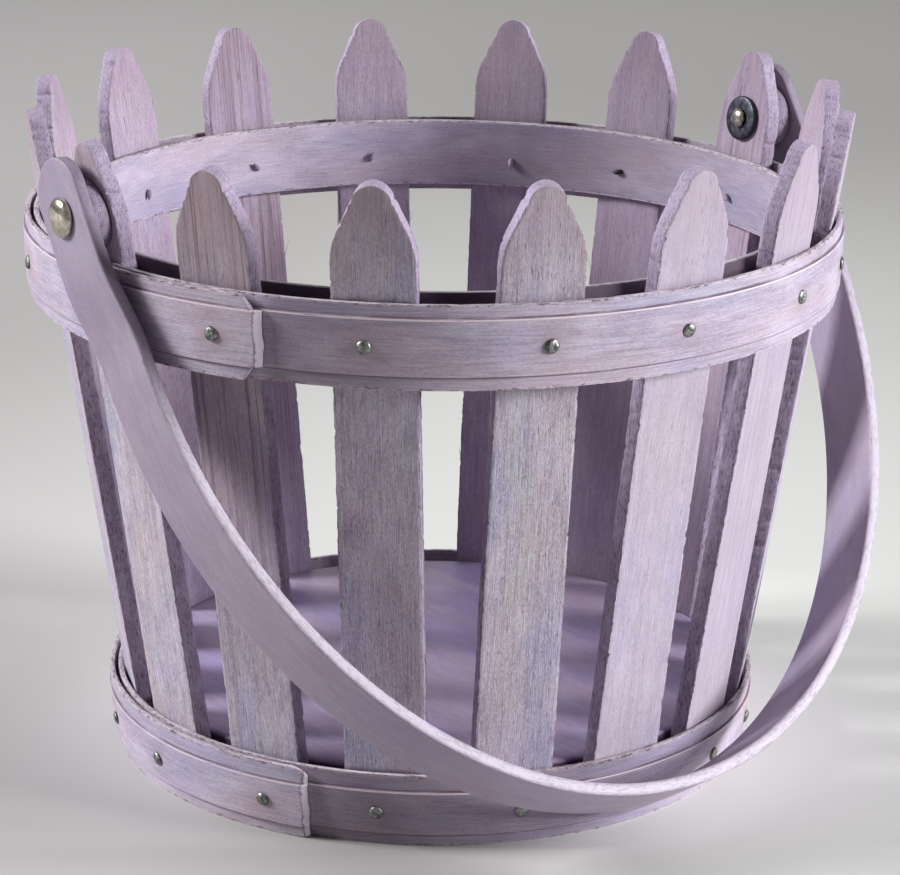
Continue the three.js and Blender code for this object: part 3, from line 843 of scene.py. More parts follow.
# %% Tree for a bent strip
ZONE = 0.1
strip, given = new_tree("bent_strip", [
    ("Path", "NodeSocketObject"),
    *numbers("Width", "Thickness", "Lip step", "Upper lip", "Lower lip", "Slope", "Arris", "Start cut"),
    *numbers("End cut", "Corner drop", "Corner roundness", "Lower corner", "End flat", "Slot shade side"),
    *numbers("Dark ends", "End bevel", "Start zone", "End zone", "Ragged", "Waviness", "Seed"),
    ("Width direction", "NodeSocketVector"), ("Steps", "NodeSocketInt"), ("Rows", "NodeSocketInt"),
    ("Material", "NodeSocketMaterial"),
])
box = {"Size": (2, 2, 2), "Vertices X": given["Steps"], "Vertices Y": 5, "Vertices Z": given["Rows"]}
blank = marked_stock(strip, "GeometryNodeMeshCube", box)
source = {"Object": given["Path"]}
path = result(strip, "GeometryNodeObjectInfo", source, "Geometry", transform_space="ORIGINAL")
full = Field(strip, result(strip, "GeometryNodeCurveLength", {0: path}))
run, depth, across = stock_parts(strip)
step = (run + 1.0) * 0.5
middle_run = full - given["Start zone"] - given["End zone"]
from_start = step.ramp(0.0, ZONE) * given["Start zone"] + step.ramp(ZONE, 1 - ZONE) * middle_run
from_start = from_start + step.ramp(1 - ZONE, 1.0) * given["End zone"]
from_end = (full - from_start).most(0.0)
print("strip stock ready")

# %% Shape the strip's ends, lips and arrises
LIP_EDGE = 0.26 * MM
BEVEL_DEPTH = 0.72
cut_run = (given["End cut"] - given["End flat"]).most(TINY)
to_end = ((from_end - given["End flat"]) / cut_run).least(from_start / given["Start cut"].most(TINY))
near = 1.0 - to_end.within(0.0, 1.0)
round_drop = 1.0 - (1.0 - near * near).most(0.0).root()
drop = near + (round_drop - near) * given["Corner roundness"]
half = given["Width"] * 0.5
upper_half = across.above(0.0)
lower_share = 1.0 + (given["Lower corner"] - 1.0) * (1.0 - upper_half)
limit = half - given["Corner drop"] * drop * lower_share


def spread(share, lip):
    """Heights of the rows on one half of the strip, crowded together where its lip begins."""
    rows = share.ramp(0.0, 0.5) * (half - lip) + share.ramp(0.5, 0.6) * LIP_EDGE
    return rows + share.ramp(0.6, 1.0) * (lip - LIP_EDGE)


flipped = -across
z = (spread(across, given["Upper lip"]) - spread(flipped, given["Lower lip"])).within(-limit, limit)
upper_line = half - given["Upper lip"] - z
lower_line = half - given["Lower lip"] + z
raised = 1.0 - across.ramp(0.5, 0.6) - flipped.ramp(0.5, 0.6)
keep = 1.0 - BEVEL_DEPTH * (1.0 - (from_end / given["End bevel"].most(TINY)).within(0.0, 1.0))
face = (given["Thickness"] - given["Lip step"] * (1.0 - raised)) * keep
middle = face * 0.5
z, y = ease_arris(z, (depth + 1.0) * 0.5 * face - middle, limit, middle, given["Arris"])
y = middle + y
print("ends, lips and arrises written")

# %% Roughen the strip's edges and its end
sway = (noise(strip, vector(strip, from_start, given["Seed"], 0.0), 7.0, 2.0) - 0.5) * given["Waviness"]
edge_at = vector(strip, from_start, upper_half * 2.0 + given["Seed"], 0.5)
edge_wave = (noise(strip, edge_at, 60.0, 3.0, 0.6) - 0.5) * given["Waviness"]
nick_at = vector(strip, from_start, upper_half * 3.0 + given["Seed"], depth * 0.001)
edge_nick = noise(strip, nick_at, 330.0, 2.0, 0.5).ease(0.6, 0.7) * given["Ragged"]
at_edge = across.size().ease(0.8, 1.0)
z = z + sway + edge_wave * at_edge * 0.7 - edge_nick * at_edge * (upper_half * 2.0 - 1.0)
torn_at = vector(strip, z, given["Seed"] + 3.0, depth * 0.001)
torn_end = (noise(strip, torn_at, 170.0, 4.0, 0.65) - 0.25).most(0.0) * given["Ragged"] * 8.0
from_start = from_start - torn_end * (1.0 - from_end.ease(0.0, 0.007))
print("edges roughened")

# %% Lay the strip along its path
wanted = {"Curves": path, "Factor": from_start / full}
sample = add_node(strip, "GeometryNodeSampleCurve", wanted, mode="FACTOR")
width_way = given["Width direction"]
square = {0: sample.outputs["Tangent"], 1: width_way}
outward = result(strip, "ShaderNodeVectorMath", square, operation="CROSS_PRODUCT")
out_unit = result(strip, "ShaderNodeVectorMath", {0: outward}, operation="NORMALIZE")
pushed = scaled(strip, out_unit, y + given["Slope"] * z)
laid = move_to(strip, blank, summed(strip, sample.outputs["Position"], scaled(strip, width_way, z), pushed))
no_step = 1.0 - given["Lip step"].above(TINY)
no_end = 1.0 - given["End bevel"].above(TINY)
lines = vector(strip, upper_line + no_step, lower_line + no_step, from_end - given["End bevel"] + no_end)
grained = store(strip, laid, "grain", vector(strip, z + given["Seed"], y, from_start), "FLOAT_VECTOR")
edged = store(strip, grained, "sawn", across.size().ease(0.93, 0.995))
lined = store(strip, edged, "lines", lines, "FLOAT_VECTOR")
# The side that faces into a slot is marked for painted shade.
slot_shaded = store(strip, lined, "unseen", (depth * given["Slot shade side"]).within(0.0, 1.0))
near_ends = 1.0 - from_start.least(from_end).ease(0.04, 0.1)
ended = store(strip, slot_shaded, "ends", near_ends * given["Dark ends"])
close_tree(strip, ended, given["Material"], mirrored=True)
print("strip tree has", len(strip.nodes), "nodes")

# %% Bake a strip along a path
PLAIN_STRIP = {
    "Lip step": 0.0, "Upper lip": 3 * MM, "Lower lip": 3 * MM, "Slope": 0.0, "Start cut": 0.0,
    "End cut": 0.0, "End flat": 0.0, "End bevel": 0.0, "Corner drop": 0.0, "Corner roundness": 0.0,
    "Lower corner": 1.0, "Slot shade side": 0.0, "Dark ends": 0.0, "Ragged": 0.0, "Width direction": (0, 0, 1),
}


def bend_strip(name, points, sizes):
    """Bakes a strip along a path of points; sizes that aren't given are those of a plain strip."""
    data = bpy.data.curves.new(name + "_path", "CURVE")
    data.dimensions = "3D"
    spline = data.splines.new("POLY")
    spline.points.add(len(points) - 1)
    for point, place in zip(spline.points, points):
        point.co = (*place, 1)
    path = link(name + "_path", data)
    made = bake(name, strip, {**PLAIN_STRIP, **sizes, "Path": path})
    bpy.data.objects.remove(path)
    return made


print("strips can be bent")

# %% [markdown]
# ## Outer hoops
# Each outer hoop is one long strip wound once and a quarter round the pickets, so that it climbs over its
# own start and ends in front with a bevelled, clipped end. The path below is that spiral, a fraction of a
# millimetre outside the pickets' corners, with a smooth ramp where the second layer begins.

# %% Wind the outer hoops
LAP_ANGLE = 90
RAMP_ANGLE = 25
RAMP_CLEARANCE = 5
TOP_HOOP = {
    "low": 135.7 * MM, "high": 158.7 * MM, "upper": 3.8 * MM, "lower": 3.8 * MM, "slope": 0.04, "end": 212.5,
    "cut": 6.0 * MM, "flat": 2.5 * MM, "drop": 3.9 * MM, "round": 0.0, "low_corner": 1.0, "bevel": 1.8 * MM,
}
BOTTOM_HOOP = {
    "low": 0.0, "high": 21.5 * MM, "upper": 5.0 * MM, "lower": 3.5 * MM, "slope": 0.12, "end": 214.0,
    "cut": 5.0 * MM, "flat": 0.0, "drop": 3.2 * MM, "round": 1.0, "low_corner": 0.25, "bevel": 1.2 * MM,
}


def smooth(t):
    """Rises from 0 to 1 as t does, gently at both ends."""
    return t * t * (3 - 2 * t)


def hoop_inside(hoop, angle, z):
    """Inside radius of a wound hoop at an unwound angle and a height."""
    top = hoop["end"] - LAP_ANGLE + 360 - RAMP_CLEARANCE
    climb = LAYER * smooth(min(1.0, max(0.0, (angle - top + RAMP_ANGLE) / RAMP_ANGLE)))
    return corner_radius(hoop["high"]) + FIT_GAP + hoop["slope"] * (z - hoop["high"]) + climb


def wind_hoop(name, hoop, seed):
    middle = (hoop["low"] + hoop["high"]) / 2
    end = hoop["end"] + 360
    angles = np.linspace(end - 360 - LAP_ANGLE, end, 460)
    points = [radial(a) * hoop_inside(hoop, a, middle) + UP * middle for a in angles]
    made = bend_strip(name, points, {
        "Width": hoop["high"] - hoop["low"], "Thickness": HOOP_THICK, "Lip step": 0.7 * MM,
        "Upper lip": hoop["upper"], "Lower lip": hoop["lower"], "Slope": hoop["slope"], "Arris": 0.3 * MM,
        "End cut": hoop["cut"], "End flat": hoop["flat"], "Corner drop": hoop["drop"],
        "Corner roundness": hoop["round"], "Lower corner": hoop["low_corner"], "Slot shade side": -0.3,
        "End bevel": hoop["bevel"], "Start zone": 40 * MM, "End zone": 8 * MM, "Ragged": 0.35 * MM,
        "Waviness": 0.25 * MM, "Steps": 440, "Rows": 41, "Seed": seed, "Material": hoop_wood,
    })
    settle(made, "basket", [name.replace("wound", "outer")], 40)
    return made


top_hoop = wind_hoop("top_wound_hoop", TOP_HOOP, 1.0)
bottom_hoop = wind_hoop("bottom_wound_hoop", BOTTOM_HOOP, 2.0)

# %% [markdown]
# ## Inner hoop
# Inside the rim a plain strip backs the pickets, its two ends butted together behind a picket.
# It is the same bent strip with no lips, laid on a plain circle that leans out a little.

# %% Bend the inner hoop
INNER_LOW = 139.6 * MM
INNER_HIGH = 159.6 * MM
INNER_THICK = 2.2 * MM
INNER_SLOPE = 0.07
BUTT_GAP = 0.15
picket_across = PICKET_THICK / math.cos(LEAN)


def inner_outside(z):
    return face_radius(INNER_LOW) - picket_across - FIT_GAP + INNER_SLOPE * (z - INNER_LOW)


inner_middle = (INNER_LOW + INNER_HIGH) / 2
inner_radius = inner_outside(inner_middle) - INNER_THICK
inner_angles = picket_angle(1) + np.linspace(BUTT_GAP, 360 - BUTT_GAP, 360)
inner_points = [radial(a) * inner_radius + UP * inner_middle for a in inner_angles]
inner_hoop = bend_strip("inner_hoop", inner_points, {
    "Width": INNER_HIGH - INNER_LOW, "Thickness": INNER_THICK, "Slope": INNER_SLOPE, "Arris": 0.4 * MM,
    "Slot shade side": 1.0, "Start zone": 65 * MM, "End zone": 65 * MM, "Ragged": 0.2 * MM, "Waviness": 0.3 * MM,
    "Steps": 361, "Rows": 21, "Seed": 3.0, "Material": hoop_wood,
})
settle(inner_hoop, "basket", ["top_inner_hoop"])

# %% [markdown]
# ## Handle
# The handle is one bent strip too. It hangs from two rivets, draws in below the spacers and rounds out
# into an arch that leans on the bottom hoop. Its path is drawn in its own plane, then tipped to the
# angle at which it hangs.

# %% Sizes of the handle
HANDLE_WIDTH = 22.4 * MM
HANDLE_THICK = 3.4 * MM
HANDLE_END = 16 * MM
HANDLE_SKEW = 3.7 * MM
LEG_DRAW_IN = 3.6 * MM
ARCH_START = 42.6 * MM
FLOOR_GAP = 6.7 * MM
REST_GAP = 2.3 * MM
SPACER_RADIUS = 9.8 * MM
SPACER_THICK = 4.8 * MM
PIVOT_Y, PIVOT_Z = frame["joints"][0]["pos_m"][1:]
pivot_face = face_radius(PIVOT_Z) * abs(math.cos(math.radians(picket_angle(0))))
HANDLE_INSIDE = pivot_face + FIT_GAP + SPACER_THICK + FIT_GAP
PIVOT_HALF = HANDLE_INSIDE + HANDLE_THICK / 2
LEG_FLAT = SPACER_RADIUS + 4 * MM


def hanging():
    """Angle from straight down at which the strip leans on the bottom hoop, and its drop."""
    half = HANDLE_WIDTH / 2
    rest = hoop_inside(BOTTOM_HOOP, 270, BOTTOM_HOOP["high"] / 2) + HOOP_THICK + REST_GAP
    hang = 0.5
    for _ in range(60):
        drop = (PIVOT_Z - FLOOR_GAP - half * math.sin(hang)) / math.cos(hang) - HANDLE_THICK / 2
        hang = math.asin((rest + PIVOT_Y + half * math.cos(hang)) / (drop - HANDLE_THICK / 2))
    return hang, drop


HANG, DROP = hanging()
print("the handle hangs at", round(math.degrees(HANG), 1), "degrees")


# %% Bend the handle
def handle_line():
    """Middle line of the strip from the left end to the right one, as across and down lengths."""
    leg = [(PIVOT_HALF, v) for v in np.linspace(-HANDLE_END, LEG_FLAT, 24)]
    for t in np.linspace(0, 1, 24)[1:]:
        leg.append((PIVOT_HALF - LEG_DRAW_IN * smooth(t), LEG_FLAT + (ARCH_START - LEG_FLAT) * t))
    for t in np.radians(np.linspace(0, 90, 90))[1:]:
        u = (PIVOT_HALF - LEG_DRAW_IN) * math.cos(t)
        leg.append((u, ARCH_START + (DROP - ARCH_START) * math.sin(t)))
    line = [(-u, v) for u, v in leg] + leg[-2::-1]
    return [(u + HANDLE_SKEW * max(0, (v - LEG_FLAT) / (DROP - LEG_FLAT)) ** 2, v) for u, v in line]


hang_down = Vector((0, -math.sin(HANG), -math.cos(HANG)))
hang_front = Vector((0, -math.cos(HANG), math.sin(HANG)))
line = np.array(handle_line())
runs = np.gradient(line, axis=0)
runs /= np.linalg.norm(runs, axis=1)[:, None]
handle_points = []
for (u, v), (du, dv) in zip(line, runs):
    u_in = u + dv * HANDLE_THICK / 2
    v_in = v - du * HANDLE_THICK / 2
    handle_points.append(Vector((u_in, PIVOT_Y, PIVOT_Z)) + hang_down * v_in)
handle = bend_strip("bent_handle", handle_points, {
    "Width": HANDLE_WIDTH, "Thickness": HANDLE_THICK, "Arris": 0.6 * MM, "Start cut": HANDLE_WIDTH / 2,
    "End cut": HANDLE_WIDTH / 2, "Corner drop": HANDLE_WIDTH / 2 - 0.4 * MM, "Corner roundness": 1.0,
    "Dark ends": 1.0, "Start zone": 12 * MM, "End zone": 12 * MM, "Waviness": 0.2 * MM,
    "Width direction": hang_front, "Steps": 420, "Rows": 25, "Seed": 4.0, "Material": handle_wood,
})
settle(handle, "handle", ["bail_handle"])

# %% [markdown]
# ## Darker stretches on the strips
# Some stretches of the strips are painted darker. On the back of the inner hoop and on the outer hoops
# beside their lapped ends this is painted shade, where little light reaches; the handle is painted darker
# towards its rivets. A short list of bearings round the basket, or of heights on the handle, says where,
# and the points between them are blended. The result is an attribute that the strips' material reads.


# %% Mark the stretches that are painted darker
def paint_darker_stretch(piece, measure, stops, shares):
    """Marks each point of a strip with how much darker it is painted at its bearing or height."""
    mark(piece.data, "darker_stretch", np.interp(measure(places_of(piece.data)), stops, shares))
    print("painted darker stretch on", piece.name, "between", stops[0], "and", stops[-1])


def bearings(places):
    return np.degrees(np.arctan2(places[:, 1], places[:, 0]))


def heights(places):
    return places[:, 2]


# Painted shade on the inner and outer hoops; the handle darker towards its rivets.
paint_darker_stretch(inner_hoop, bearings, [-45, 40, 57], [0, 1, 0])
paint_darker_stretch(top_hoop, bearings, [-148, -147, -142, -115], [0, 0.7, 0.7, 0])
paint_darker_stretch(bottom_hoop, bearings, [-147, -146, -102, -75], [0, 0.8, 0.8, 0])
paint_darker_stretch(handle, heights, [30 * MM, 80 * MM, 160 * MM], [0, 0.5, 0.6])

# %% [markdown]
# ## Nails
# One galvanised nail goes through each picket at the rim and one at the foot, set a little to one side,
# turn about. At the rim their points come out inside and are bent over, or clinched, against the inner
# hoop. All of them are one shape turned on its axis: a hammered dome, a shank and a point that bends. A
# flat grid is copied to every nail's seat, and its two directions become the way round the nail and the
# way along it. The seats come from the hoops' own sizes, so a nail follows if a hoop is moved.

# %% Seats of the nails
NAIL_STAGGER = 2 * MM
BOARD_GRIP = 11 * MM
RUST_REACH = 9 * MM


def nail_seat(hoop, index):
    """Point under a nail's head, its outward direction and the radius of that point."""
    z = (hoop["low"] + hoop["lower"] + hoop["high"] - hoop["upper"]) / 2
    aside = NAIL_STAGGER if index % 2 else -NAIL_STAGGER
    angle = picket_angle(index) + math.degrees(aside / face_radius(z))
    unwound = angle % 360
    while unwound <= hoop["end"]:
        unwound += 360
    tilt = math.atan(hoop["slope"])
    out = radial(angle) * math.cos(tilt) - UP * math.sin(tilt)
    radius = hoop_inside(hoop, unwound, z) + HOOP_THICK
    return radial(angle) * radius + UP * z, out, radius


def seat_mesh(name, hoop, clinch):
    """Loose points, one for each nail, that carry the nail's directions and lengths as attributes."""
    rows = []
    for index in range(PICKETS):
        seat, out, radius = nail_seat(hoop, index)
        inside = inner_outside(seat.z) - INNER_THICK
        if not clinch:
            inside = face_radius(seat.z) - picket_across - BOARD_GRIP
        turn_over = math.radians(40 + 150 * math.sin(index * 2.3))
        level = out.cross(UP).normalized()
        upright = level.cross(out)
        bend_way = level * math.cos(turn_over) + upright * math.sin(turn_over)
        reach = (radius - inside) / math.cos(math.atan(hoop["slope"]))
        rows.append((seat, out, bend_way, out.cross(bend_way), reach))
    places, outs, bend_ways, side_ways, reaches = zip(*rows)
    mesh = bpy.data.meshes.new(name)
    mesh.from_pydata(places, [], [])
    mark(mesh, "seat", places, "FLOAT_VECTOR")
    mark(mesh, "out", outs, "FLOAT_VECTOR")
    mark(mesh, "bend_way", bend_ways, "FLOAT_VECTOR")
    mark(mesh, "side_way", side_ways, "FLOAT_VECTOR")
    mark(mesh, "reach", reaches)
    return mesh


def rust_round_nails(piece, seats):
    """Marks a strip with a stain that fades away round every nail that goes through it."""
    places = places_of(piece.data)
    nearest = np.min([np.linalg.norm(places - head, axis=1) for head in places_of(seats)], axis=0)
    mark(piece.data, "rust", np.clip(1 - nearest / RUST_REACH, 0, 1))


top_seats = seat_mesh("top_seats", TOP_HOOP, True)
bottom_seats = seat_mesh("bottom_seats", BOTTOM_HOOP, False)
for piece, seats in [(top_hoop, top_seats), (inner_hoop, top_seats), (bottom_hoop, bottom_seats)]:
    rust_round_nails(piece, seats)
print("seats for", len(top_seats.vertices) + len(bottom_seats.vertices), "nails")

# %% Tree for a row of nails
HEAD_LEAN = 0.22 * MM
nail_row, given = new_tree("nail_row", [
    ("Seats", "NodeSocketGeometry"),
    *numbers("Head radius", "Head height", "Shank radius", "Lift", "Clinch", "Dents", "Seed"),
    ("Material", "NodeSocketMaterial"),
])
sheet = marked_stock(nail_row, "GeometryNodeMeshGrid", {"Vertices X": 21, "Vertices Y": 40})
blanks = numbered_copies(nail_row, given["Seats"], sheet, "nail")
around, lengthwise = stock_parts(nail_row)[:2]
number = recall_number(nail_row, "nail")
own = number * 3.7 + given["Seed"]
turn = (around + 0.5) * (2 * math.pi)
way = lengthwise + 0.5
rim = way.ramp(0.0, 0.45)
under = way.ramp(0.45, 0.5)
tail = way.ramp(0.5, 1.0)
arc = rim * (math.pi / 2)
lump_at = vector(nail_row, turn.cosine() * rim, turn.sine() * rim, own)
lump = noise(nail_row, lump_at, 1.3, 2.0, 0.5) - 0.5
head = given["Head radius"] * arc.sine() * (1.0 + lump * 0.35)
width = head + (given["Shank radius"] - head) * under
width = width * (1.0 - tail.ramp(0.9, 1.0))
dent_at = vector(nail_row, turn.cosine() * rim * 2.2, turn.sine() * rim * 2.2, own + 9.0)
dent = (noise(nail_row, dent_at, 1.0, 2.0, 0.5) - 0.5) * given["Dents"] * (1.0 - rim * rim)
lean = (turn + own).cosine() * rim * (1.0 - under) * HEAD_LEAN
dome = (given["Head height"] * arc.cosine()).least(given["Head height"] * 0.82) + dent + lean
print("nail profile written")

# %% Bend the points over and set the nails
BEND_LENGTH = 1.3 * MM
BEND_LIMIT = math.radians(86)
BEND_RADIUS = BEND_LENGTH / BEND_LIMIT
BARE_NAIL = 9
reach = recall_number(nail_row, "reach")
clinched = given["Clinch"].above(TINY)
travelled = tail * (reach + given["Clinch"])
bend_start = reach + 0.1 * MM
tilt = ((travelled - bend_start) / BEND_LENGTH).within(0.0, 1.0) * clinched * BEND_LIMIT
past = (travelled - bend_start - BEND_LENGTH).most(0.0) * clinched
depth_in = travelled.least(bend_start + (1.0 - clinched)) + tilt.sine() * BEND_RADIUS
depth_in = depth_in + past * math.cos(BEND_LIMIT)
shift = (1.0 - tilt.cosine()) * BEND_RADIUS + past * math.sin(BEND_LIMIT)
swing = turn.cosine() * width
lift_out = given["Lift"] + dome * (1.0 - under) - depth_in * tail.above(0.0) + swing * tilt.sine()
set_at = recall(nail_row, "seat", "FLOAT_VECTOR")
for way_name, amount in [
    ("out", lift_out), ("bend_way", shift + swing * tilt.cosine()), ("side_way", turn.sine() * width),
]:
    direction = recall(nail_row, way_name, "FLOAT_VECTOR")
    set_at = summed(nail_row, set_at, scaled(nail_row, direction, amount))
driven = move_to(nail_row, blanks, set_at)
in_wood = tail.above(0.02)
# Each head is darker round its rim, and the shank and point are dark.
rim_dark = rim.ease(0.7, 1.0) * (lump + 0.75).within(0.0, 1.0)
darkened_nails = store(nail_row, driven, "grime", rim_dark.most(in_wood))
brushed = (number - BARE_NAIL).size().above(0.5) * in_wood
painted = store(nail_row, darkened_nails, "paint", brushed * 0.85)
welded = result(nail_row, "GeometryNodeMergeByDistance", {"Geometry": painted, "Distance": TINY})
close_tree(nail_row, welded, given["Material"], mirrored=True)
for name, seats, clinch in [("top_nail", top_seats, 3.4 * MM), ("bottom_nail", bottom_seats, 0.0)]:
    nails = bake(name + "s", nail_row, {
        "Head radius": 1.95 * MM, "Head height": 0.95 * MM, "Shank radius": 0.8 * MM, "Lift": 0.1 * MM,
        "Clinch": clinch, "Dents": 0.5 * MM, "Seed": 2.0 + clinch / MM, "Material": nail_steel,
    }, seats)
    settle(nails, "basket", [f"{name}_{k + 1:02d}" for k in range(PICKETS)], 60)

# %% [markdown]
# ## Pivots
# On each side a wooden spacer keeps the handle off its picket, a rivet runs through all three, and its
# point is spread over a dark washer inside. These are turned pieces: a profile is spun round the pivot
# line. The spacer's inner end is not square, because the picket leans, so each of its points is pushed
# on until it meets the picket's face.


# %% Turned pieces
def spin(bm, profile, origin, direction, segments, reach_of=None):
    """Adds a closed turned form to a bmesh: profile pairs are a radius and a distance along the axis."""
    direction = Vector(direction).normalized()
    first = direction.orthogonal().normalized()
    second = direction.cross(first)
    rings = []
    for radius, distance in profile:
        if radius < 1e-9:
            rings.append([bm.verts.new(origin + direction * distance)])
            continue
        ring_points = []
        for k in range(segments):
            a = 2 * math.pi * k / segments
            flat = (first * math.cos(a) + second * math.sin(a)) * radius
            length = reach_of(flat, distance) if reach_of else distance
            ring_points.append(bm.verts.new(origin + flat + direction * length))
        rings.append(ring_points)
    pairs = list(zip(rings, rings[1:]))
    if len(rings[0]) > 1:
        pairs.append((rings[-1], rings[0]))
    for low, high in pairs:
        for k in range(segments):
            low_pair = [low[k % len(low)], low[(k + 1) % len(low)]]
            high_pair = [high[(k + 1) % len(high)], high[k % len(high)]]
            bm.faces.new(list(dict.fromkeys(low_pair + high_pair)))


def turned_piece(name, material, *forms):
    """Piece made of turned forms, each given by what spin asks for."""
    bm = bmesh.new()
    for form in forms:
        spin(bm, *form)
    bmesh.ops.recalc_face_normals(bm, faces=bm.faces)
    mesh = bpy.data.meshes.new(name)
    bm.to_mesh(mesh)
    bm.free()
    mesh.materials.append(material)
    return link(name, mesh)


def dome_profile(radius, height, brim):
    """Half round head with a small upright brim, from the middle of its underside to its top."""
    points = [(0.0, 0.0), (radius * 0.93, 0.0), (radius * 0.99, brim * 0.25), (radius, brim * 0.7)]
    for t in np.radians(np.linspace(6, 90, 12)):
        points.append((radius * math.cos(t), brim + (height - brim) * math.sin(t)))
    points[-1] = (0.0, height)
    return points


def in_millimetres(*pairs):
    return [(radius * MM, distance * MM) for radius, distance in pairs]


print("turned pieces can be made")

# %% Profiles of the pivots
RIVET_RADIUS = 2.5 * MM
BORE = RIVET_RADIUS + FIT_GAP
WASHER_THICK = 1.2 * MM
SPACER_EASE = 0.5 * MM
SPACER_SOFT = 0.15 * MM
spacer_half = [
    (BORE, 0.0), (SPACER_RADIUS - SPACER_EASE, 0.0), (SPACER_RADIUS - SPACER_SOFT, 0.04),
    (SPACER_RADIUS, 0.12),
]
spacer_profile = [*spacer_half, (SPACER_RADIUS, 0.5), *((r, 1 - share) for r, share in spacer_half[::-1])]
washer_rim = in_millimetres((6.3, 0.0), (6.6, 0.25), (6.6, 0.8), (6.45, 1.08), (6.1, 1.2), (4.5, 1.26))
washer_profile = [(BORE, 0.0), *washer_rim, (BORE, WASHER_THICK)]
head_profile = dome_profile(5.4 * MM, 2.6 * MM, 0.5 * MM)
peen_profile = in_millimetres((0, 0), (2.4, 0), (2.9, 0.2), (2.9, 0.6), (2.4, 1.1), (1.4, 1.45), (0, 1.6))
print("profiles for a spacer, a washer and a rivet")

# %% Spacers, washers and rivets
PIVOT = Vector((0, PIVOT_Y, PIVOT_Z))
HEAD_START = HANDLE_INSIDE + HANDLE_THICK + FIT_GAP
PEEN_FAULT = 0.12 * MM
for word, side in [("left", -1), ("right", 1)]:
    angle = picket_angle(0 if side < 0 else HALF_RING)
    normal = radial(angle) * math.cos(LEAN) - UP * math.sin(LEAN)
    face_point = radial(angle) * FOOT_RADIUS
    outward = Vector((side, 0, 0))

    def to_face(flat, behind):
        """Distance along the pivot line to a plane that lies behind the picket's outer face."""
        start = PIVOT + flat - face_point
        return -(start.dot(normal) + behind) / outward.dot(normal)

    def spacer_reach(flat, share):
        near = to_face(flat, -FIT_GAP)
        return near + (HANDLE_INSIDE - FIT_GAP - near) * share

    spacer = turned_piece("spacer_" + word, picket_wood, (spacer_profile, PIVOT, outward, 64, spacer_reach))
    places = [v.co - PIVOT for v in spacer.data.vertices]
    mark(spacer.data, "grain", [(p.y + 0.7 * side, p.x, p.z) for p in places], "FLOAT_VECTOR")
    mark(spacer.data, "sawn", np.ones(len(places)))
    settle(spacer, "basket", ["pivot_spacer_" + word])

    inner_seat = PIVOT + outward * to_face(Vector(), PICKET_THICK)
    washer_seat = inner_seat - normal * FIT_GAP
    washer = turned_piece("washer_" + word, washer_steel, (washer_profile, washer_seat, -normal, 48))
    settle(washer, "basket", ["pivot_washer_" + word])

    peen_seat = inner_seat - normal * (2 * FIT_GAP + WASHER_THICK)
    shank_start = abs(peen_seat.x) - 0.3 * MM
    shank_length = HEAD_START - shank_start + 0.4 * MM
    shank_profile = [(0.0, 0.0), (RIVET_RADIUS, 0.0), (RIVET_RADIUS, shank_length), (0.0, shank_length)]
    rivet = turned_piece(
        "rivet_" + word,
        rivet_metal,
        (head_profile, PIVOT + outward * HEAD_START, outward, 56),
        (peen_profile, peen_seat, -normal, 9),
        (shank_profile, PIVOT + outward * shank_start, outward, 28),
    )
    for vertex in rivet.data.vertices:
        if abs(vertex.co.x) < shank_start + 2 * MM:
            fault = math.sin(vertex.co.y * 2300 + side) * math.sin(vertex.co.z * 1900 + 1)
            vertex.co -= normal * fault * PEEN_FAULT
    settle(rivet, "basket", ["pivot_rivet_" + word], 36)

# %% [markdown]
# ## Base board
# The board closes the foot of the basket inside the pickets. Its rim leans with them and its top edge is
# eased. The top is planed by hand, so it is not dead flat: a few long shallow waves catch the light.

# %% Turn the base board
BASE_THICK = 20.6 * MM
WAVE = 0.12 * MM
PLANED_OFF = 0.2 * MM


def base_edge(z):
    return face_radius(z) - picket_across - FIT_GAP


foot_edge = base_edge(0)
top_edge = base_edge(BASE_THICK)
base_profile = [
    (0.0, 0.0), (foot_edge * 0.5, 0.0), (foot_edge - 0.8 * MM, 0.0), (foot_edge, 0.8 * MM),
    (base_edge(BASE_THICK * 0.5), BASE_THICK * 0.5), (top_edge - 0.1 * MM, BASE_THICK - 1.4 * MM),
    (top_edge - 0.5 * MM, BASE_THICK - 0.5 * MM), (top_edge - 1.5 * MM, BASE_THICK),
    *((r, BASE_THICK) for r in np.linspace(top_edge - 4 * MM, 4 * MM, 24)), (0.0, BASE_THICK),
]
base = turned_piece("base_disc", base_wood, (base_profile, Vector(), UP, 96))
for vertex in base.data.vertices:
    if vertex.co.z > BASE_THICK - 0.1 * MM:
        crosswise = vertex.co.dot(back - UP * back.z)
        waves = math.sin(crosswise * 210) + 0.6 * math.sin(crosswise * 95 + 1.3)
        vertex.co.z += WAVE * waves - PLANED_OFF
# The rim below the top is marked for painted shade.
mark(base.data, "unseen", places_of(base.data)[:, 2] < BASE_THICK - 1.2 * MM)
settle(base, "basket", ["base_board"])

# %% [markdown]
# ## Splinters
# Sawn slats shed hairs: thin fibres that lift off an edge and catch the light. Points are scattered only
# where the pickets' sawn attribute is high, and a thin four-sided thorn is copied to each one, lying almost
# along the slat. Geometry Nodes do the scattering, with a fixed seed, and each thorn has a few faces only.

